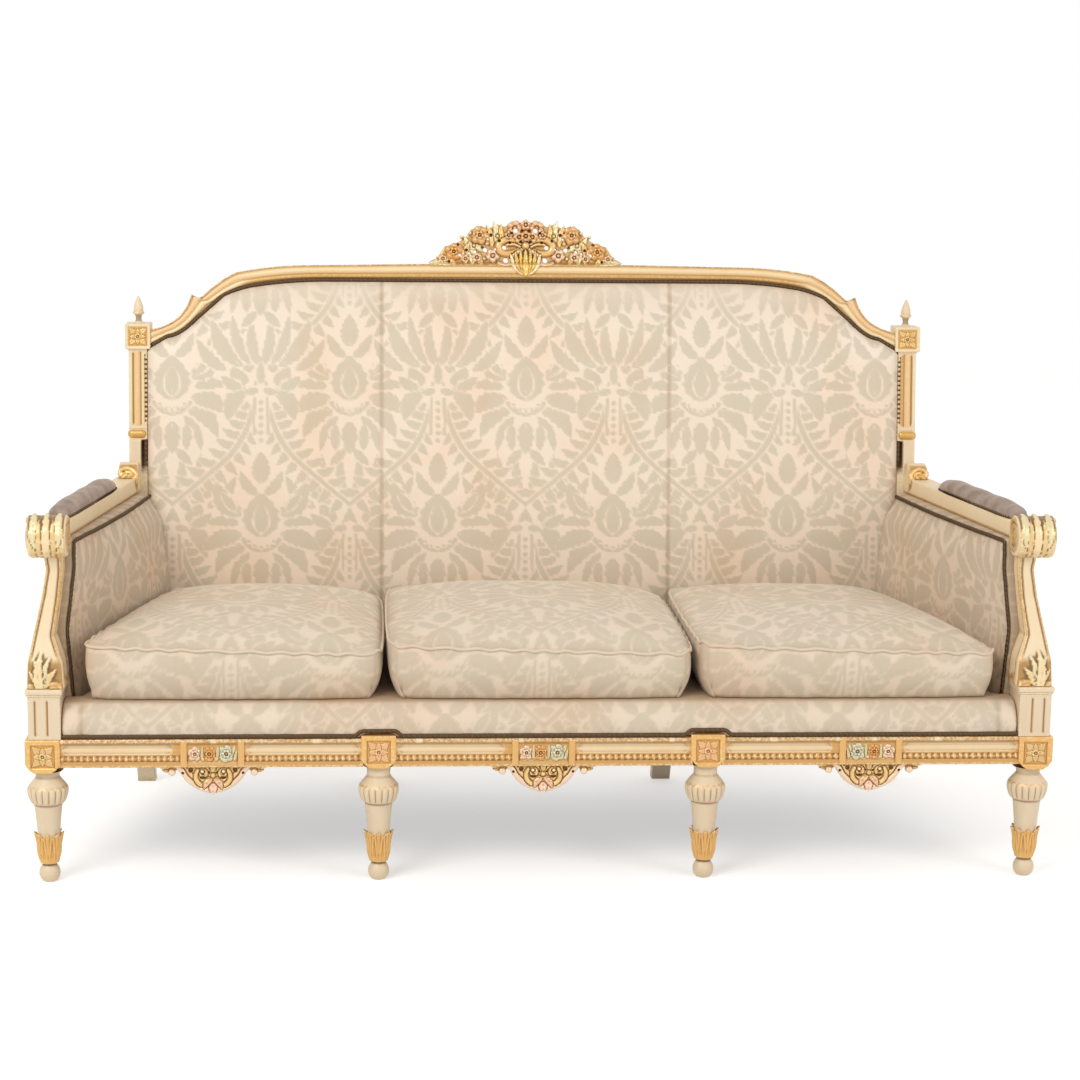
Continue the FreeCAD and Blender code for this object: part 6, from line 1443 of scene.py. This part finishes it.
# Arm rests: each is a beech bar that ends in a rolled scroll in front, cut with leaves round its
# face and a volute on each side, and in a small gilded leaf scroll against the rear post.
SCROLL_Y, SCROLL_Z = 337, 667.5
for side, name in ((-1, "left"), (1, "right")):
    points, faces, normals = reshaped(f"arm_rest_{name}", 2.3 * mm, 4)
    x, y, z = side * points[:, 0] / mm, points[:, 1] / mm, points[:, 2] / mm
    from_y, from_z = y + SCROLL_Y, z - SCROLL_Z
    away = np.hypot(from_y, from_z)
    turn = np.arctan2(from_z, -from_y)
    on_scroll = (1 - step_up(away, 41, 43)) * (1 - step_up(y, -322, -300))
    rim = on_scroll * step_up(away, 34, 37) * (1 - step_up(np.abs(normals[:, 0]), 0.35, 0.6))
    leaves = Relief(x - 929.05, turn * 39.5)
    leaves.height[:] = 0
    for start_x, start_z, tip_x, tip_z, width, paint in (
            (24, -66, 30, 20, 10, LEAF_GOLD), (20, -20, 24, 70, 10, LEAF_GREEN),
            (10, -66, 13, 40, 8.5, PALE_GOLD)):
        for way in (-1, 1):
            leaves.leaf((way * start_x, start_z), (way * tip_x, tip_z), width, 8.5, paint, teeth=7, veins=7,
                        blunt=0.7)
    leaves.leaf((0, -66), (0, 76), 9.5, 8.5, LEAF_CREAM, teeth=7, veins=7, blunt=0.7)
    disc = on_scroll * step_up(np.abs(normals[:, 0]), 0.6, 0.85)
    volute = Relief(from_y, from_z)
    volute.height[:] = 0
    stroke(volute, spiral(0, 0, 33, 7, -2.1, 2.0, 70), (4.6, 3.0), 5.0, OLD_GOLD)
    volute.ball(0, 0, 7.5, 6.5, PALE_GOLD)
    rear = Relief(x - 838, z - 688)
    rear.height[:] = 0
    for index in range(5):
        bend_angle = 2.6 - index * 0.75
        tip = (math.cos(bend_angle) * 27, math.sin(bend_angle) * 27)
        rear.leaf((-4, -8), tip, 7.5, 7.0, (0.74, 0.43, 0.13), bend=0.22, veins=4)
    stroke(rear, spiral(0, 0, 27, 5, 1.5, -0.6, 50), (3.4, 2.4), 7.5, OLD_GOLD)
    at_rear = step_up(y, 222, 232) * step_up(-normals[:, 1], 0.3, 0.6)
    lift = rim * leaves.height.clip(0) * 0.62 + disc * volute.height.clip(0) * 0.6
    points = points + normals * ((lift + at_rear * rear.height.clip(0) * 0.5 - rim * 1.4) * mm)[:, None]
    colour = np.broadcast_to(CREAM, points.shape)
    low_edge = (1 - step_up(z, 658, 661)) * (1 - on_scroll)
    colour = tinted(low_edge, colour, OLD_GOLD)
    on_leaf = (rim * (leaves.inside > 0))[:, None]
    # Between the leaves the scroll's sunk face is part gilded and painted dark brown: painted shade.
    colour = tinted(rim, colour, (0.44, 0.26, 0.09)) * (1 - on_leaf) + leaves.colour * on_leaf
    colour = tinted(disc * (volute.inside > 0), colour, OLD_GOLD)
    colour = tinted(at_rear, colour, (0.60, 0.35, 0.10))
    colour = tinted(at_rear * (rear.inside > 0), colour, (0.76, 0.46, 0.15))
    gilt = np.maximum.reduce([low_edge, rim * 0.7, disc * (volute.inside > 0), at_rear])
    rest = carved(f"rest_{name}", points, faces, colour, gilt.clip(0, 1), 0.9 * mm)
    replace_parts(rest, f"arm_rest_{name}")


# Arm pads: small round-ended pads of dusty lilac velvet on top of the arm rests, stuffed hard and
# nailed down close. The pile is brushed, so patches of it catch the light.
def lilac_velvet():
    material, tree, shader = new_material("dusty lilac velvet", Roughness=0.85)
    brushed = clouds(tree, 30.0, 3.0, 0.55)
    fine = clouds(tree, 900.0, 2.0)
    pile = blend_colour(tree, scaled(tree, brushed, 0.35, 0.65), (0.27, 0.19, 0.145), (0.42, 0.335, 0.285))
    tree.links.new(pile, shader.inputs["Base Color"])
    roughen(tree, shader, fine, 0.3, 0.0006)
    shader.inputs["Sheen Weight"].default_value = 0.55
    shader.inputs["Sheen Roughness"].default_value = 0.4
    shader.inputs["Sheen Tint"].default_value = (0.80, 0.70, 0.66, 1)
    return material


show_velvet = lilac_velvet()
for name in ("left", "right"):
    points, faces, _ = reshaped(f"arm_pad_{name}", 3.0 * mm, 12)
    low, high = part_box(f"arm_pad_{name}")
    rise = step_up(points[:, 2], low[2] + 4 * mm, high[2])
    points[:, 2] += rise * (0.8 + 0.7 * np.sin(points[:, 1] * 60)) * mm
    pad = plain_piece(f"velvet_pad_{name}", points, faces, show_velvet, "velvet")
    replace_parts(pad, f"arm_pad_{name}")
    foot = points[points[:, 2] < low[2] + 3 * mm]
    middle = foot.mean(0)
    way = np.degrees(np.arctan2(foot[:, 1] - middle[1], foot[:, 0] - middle[0])) // 4
    rim = np.array([max(foot[way == step].tolist(), key=lambda at: math.dist(at[:2], middle[:2]))
                    for step in np.unique(way)])
    rim = np.vstack([rim, rim[:1]])
    rim[:, 2] = low[2] + 2.6 * mm
    away = evenly(rim, 9 * mm)[0] - middle
    away[:, 2] = 0.02
    plain_piece(f"velvet_pad_nails_{name}", *nail_heads(rim, away, 3.6 * mm, 9 * mm), show_bronze,
                "bronze_nails")


# Arm upholstery: a stuffed inside panel and a flat outside cover of the same damask, nailed to the
# support and the rail; domed nails run down the inner edge of each support.
for side, name in ((-1, "left"), (1, "right")):
    points, faces, normals = reshaped(f"arm_panel_{name}", 4.2 * mm, 8)
    y, z = points[:, 1] / mm, points[:, 2] / mm
    inward = step_up(-side * normals[:, 0], 0.1, 0.6)
    edge = np.minimum.reduce([z - 284, 655 - z, y + 299, 261 - y]).clip(0)
    ripple = np.sin(z / 10 + np.sin(y / 40) * 2) * np.exp(-(y + 299).clip(0) / 22) * 0.9
    ripple += np.sin(y / 11) * np.exp(-(655 - z).clip(0) / 20) * 0.8
    points[:, 0] -= side * inward * (ripple + 3.0 * (1 - np.exp(-edge / 40))) * mm
    pattern = 0.45 + (damask(y + 60, z - 520) - 0.45) * 0.85
    shade = 0.36 + 0.28 * np.exp(-edge / 12) + 0.12 * step_up(-z, -520, -330)
    panel_points = points
    panel = covered(f"arm_inside_{name}", points, faces, pattern, shade)
    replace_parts(panel, f"arm_panel_{name}")
    points, faces, _ = reshaped(f"arm_cover_{name}")
    cover = covered(f"arm_outside_{name}", points, faces, 0.3, 0.25)
    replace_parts(cover, f"arm_cover_{name}")
    points, _, _ = reshaped(f"arm_nails_{name}", 2.5 * mm, 0)
    path = []
    for low in np.arange(288, 652, 12.0):
        near = points[np.abs(points[:, 2] / mm - low) < 7]
        path.append((*near[:, :2].mean(0), low * mm))
    top = panel_points[panel_points[:, 2] > 0.640]
    for low in np.arange(-0.285, 0.252, 0.012):
        near = top[np.abs(top[:, 1] - low) < 0.008]
        path.append((side * np.abs(near[:, 0]).min(), low, 0.6505))
    path = np.array(path) - np.array([side * 1.5, 0, 0]) * mm
    way = (-side, -0.35, 0)
    arm_nails = plain_piece(f"arm_front_nails_{name}", *two_sets(nail_heads(path, way), ribbon(path, way)),
                            show_bronze, "bronze_nails")
    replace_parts(arm_nails, f"arm_nails_{name}")


# Seat deck: a sprung and stuffed seat under the cushions, covered in the damask, with a rolled
# front edge that is drawn down to the rails and pleated at the two front corners.
points, faces, normals = reshaped("seat_deck", 4.6 * mm, 10)
x, y, z = points.T / mm
front = step_up(-normals[:, 1], 0.2, 0.7)
corner = np.exp(-((np.abs(x) - 872) / 5) ** 2) * front
pull = np.sin(x / 7 + np.sin(x / 90) * 3) * np.exp(-(z - 284).clip(0) / 14) * front
points[:, 1] += (corner * 3.0 + pull * 0.7 - front * 1.2) * mm
pattern = 0.45 + (damask(x, z - 560) - 0.5) * 0.6 * front
shade = 0.24 + 0.30 * corner + 0.35 * np.exp(-(z - 284).clip(0) / 7) * front + 0.6 * step_up(z, 345, 351)
deck = covered("deck_damask", points, faces, pattern, shade.clip(0, 1))
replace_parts(deck, "seat_deck")


# Under and behind the upholstery: jute webbing, a black dust cloth, the plain outside back cover,
# raw beech braces, cross rails and uprights, and the painted rear legs and rails.
def plain_surface(name, first, second, scale, stretch, roughness):
    """A matt surface whose grain runs between two colours."""
    material, tree, shader = new_material(name, Roughness=roughness)
    grain = clouds(tree, scale, 4.0, 0.6, stretch)
    colour = blend_colour(tree, scaled(tree, grain, 0.3, 0.7), first, second)
    tree.links.new(colour, shader.inputs["Base Color"])
    roughen(tree, shader, grain, 0.2, 0.0008)
    return material


show_beech = plain_surface("raw beech", (0.42, 0.25, 0.12), (0.60, 0.39, 0.21), 40.0, (0.15, 1, 1), 0.62)
show_rear_paint = plain_surface("painted rear wood", (0.66, 0.54, 0.38), (0.80, 0.67, 0.48), 18.0,
                                (1, 1, 0.4), 0.5)
show_jute = plain_surface("jute webbing", (0.30, 0.20, 0.11), (0.46, 0.33, 0.19), 420.0, (1, 1, 1), 0.9)
show_dust = plain_surface("dust cloth", (0.012, 0.012, 0.013), (0.03, 0.03, 0.032), 500.0, (1, 1, 1), 0.95)
for node, material, slot, flat, behind in (
        ("seat_webbing", show_jute, "webbing", (1.83, 0.53), "cross_rail_left"),
        ("back_webbing", show_jute, "webbing", (1.60, 0.76), "back_upright_left"),
        ("dust_cloth", show_dust, "dust_cloth", (1.83, 0.53), "cross_rail_left"),
        ("outside_back_cover", show_damask, "damask", (1.60, 0.81), "back_upright_left")):
    points, faces, _ = reshaped(node)
    cloth = covered(f"{node}_cloth", points, faces, 0.3, 0.2, material=material, slot=slot)
    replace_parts(cloth, node)
for kind, material in (("back_lower_rail", show_beech), ("rear_rail", show_rear_paint),
                       ("cross_rail_", show_beech), ("back_upright_", show_beech), ("corner_brace_front_", show_beech),
                       ("corner_brace_rear_", show_beech), ("rear_leg_inner_", show_rear_paint),
                       ("side_rail_", show_rear_paint)):
    for node in [kind + "left", kind + "right"] if kind.endswith("_") else [kind]:
        bpy.data.objects[node].data.materials.clear()
        bpy.data.objects[node].data.materials.append(material)


# Studio: a pale floor, soft daylight all round and one large lamp up on the left, with the camera
# at the photograph's place, a little left of the middle and looking slightly down.
scene = bpy.context.scene
scene.view_settings.view_transform = "Standard"
floor_mesh = bpy.data.meshes.new("studio_floor")
floor_mesh.from_pydata([(-9, -9, 0), (9, -9, 0), (9, 9, 0), (-9, 9, 0)], [], [[0, 1, 2, 3]])
floor = bpy.data.objects.new("studio_floor", floor_mesh)
bpy.context.collection.objects.link(floor)
pale, pale_tree, pale_shader = new_material("pale floor", Base_Color=(0.9, 0.9, 0.9, 1), Roughness=0.9)
pale_shader.inputs["Specular IOR Level"].default_value = 0.0
pale_shader.inputs["Emission Color"].default_value = (1, 1, 1, 1)


def looked_at(tree):
    """1 where the eye meets a surface, also in a gloss or through glass; 0 for the light it gives."""
    rays = new_node(tree, "LightPath").outputs
    mirrored = new_node(tree, "Math", operation="MAXIMUM",
                        inputs={0: rays["Is Camera Ray"], 1: rays["Is Glossy Ray"]})
    return new_node(tree, "Math", operation="MAXIMUM",
                    inputs={0: mirrored.outputs[0], 1: rays["Is Transmission Ray"]}).outputs[0]


lit = new_node(pale_tree, "Math", operation="MULTIPLY", inputs={0: looked_at(pale_tree), 1: 0.45})
pale_tree.links.new(lit.outputs[0], pale_shader.inputs["Emission Strength"])
floor_mesh.materials.append(pale)

world = bpy.data.worlds.new("studio daylight")
scene.world = world
world.use_nodes = True
world_tree = world.node_tree
daylight = world_tree.nodes["Background"]
daylight.inputs["Color"].default_value = (1.0, 0.985, 0.96, 1)
daylight.inputs["Strength"].default_value = 0.62
backdrop = new_node(world_tree, "Background", inputs={"Color": (1, 1, 1, 1), "Strength": 1.0})
choose = new_node(world_tree, "MixShader", inputs={0: looked_at(world_tree), 1: daylight.outputs[0],
                                                   2: backdrop.outputs[0]})
world_tree.links.new(choose.outputs[0], world_tree.nodes["World Output"].inputs["Surface"])


def soft_lamp(name, place, aim, size, power, colour):
    """A large lamp turned to the settee."""
    light = bpy.data.lights.new(name, "AREA")
    light.shape = "RECTANGLE"
    light.size, light.size_y = size
    light.energy = power
    light.color = colour
    lamp = bpy.data.objects.new(name, light)
    lamp.location = place
    lamp.rotation_euler = (Vector(aim) - Vector(place)).to_track_quat("-Z", "Y").to_euler()
    bpy.context.collection.objects.link(lamp)


soft_lamp("key_lamp", (-2.6, -3.4, 3.6), (0, 0, 0.6), (2.4, 1.8), 95, (1.0, 0.97, 0.92))
soft_lamp("fill_lamp", (3.2, -3.0, 2.2), (0, 0, 0.6), (2.0, 2.0), 34, (1.0, 0.97, 0.94))

camera_data = bpy.data.cameras.new("camera")
camera_data.lens = 79.2
camera_data.shift_x = 0.05
camera = bpy.data.objects.new("camera", camera_data)
camera.location = (-0.3222, -4.733, 1.4384)
pitch, yaw, roll = 10.04, -2.74, 0.49
facing = Matrix.Rotation(math.radians(yaw), 3, "Z") @ Matrix.Rotation(math.radians(90 - pitch), 3, "X")
camera.rotation_euler = (facing @ Matrix.Rotation(math.radians(roll), 3, "Z")).to_euler()
bpy.context.collection.objects.link(camera)
scene.camera = camera
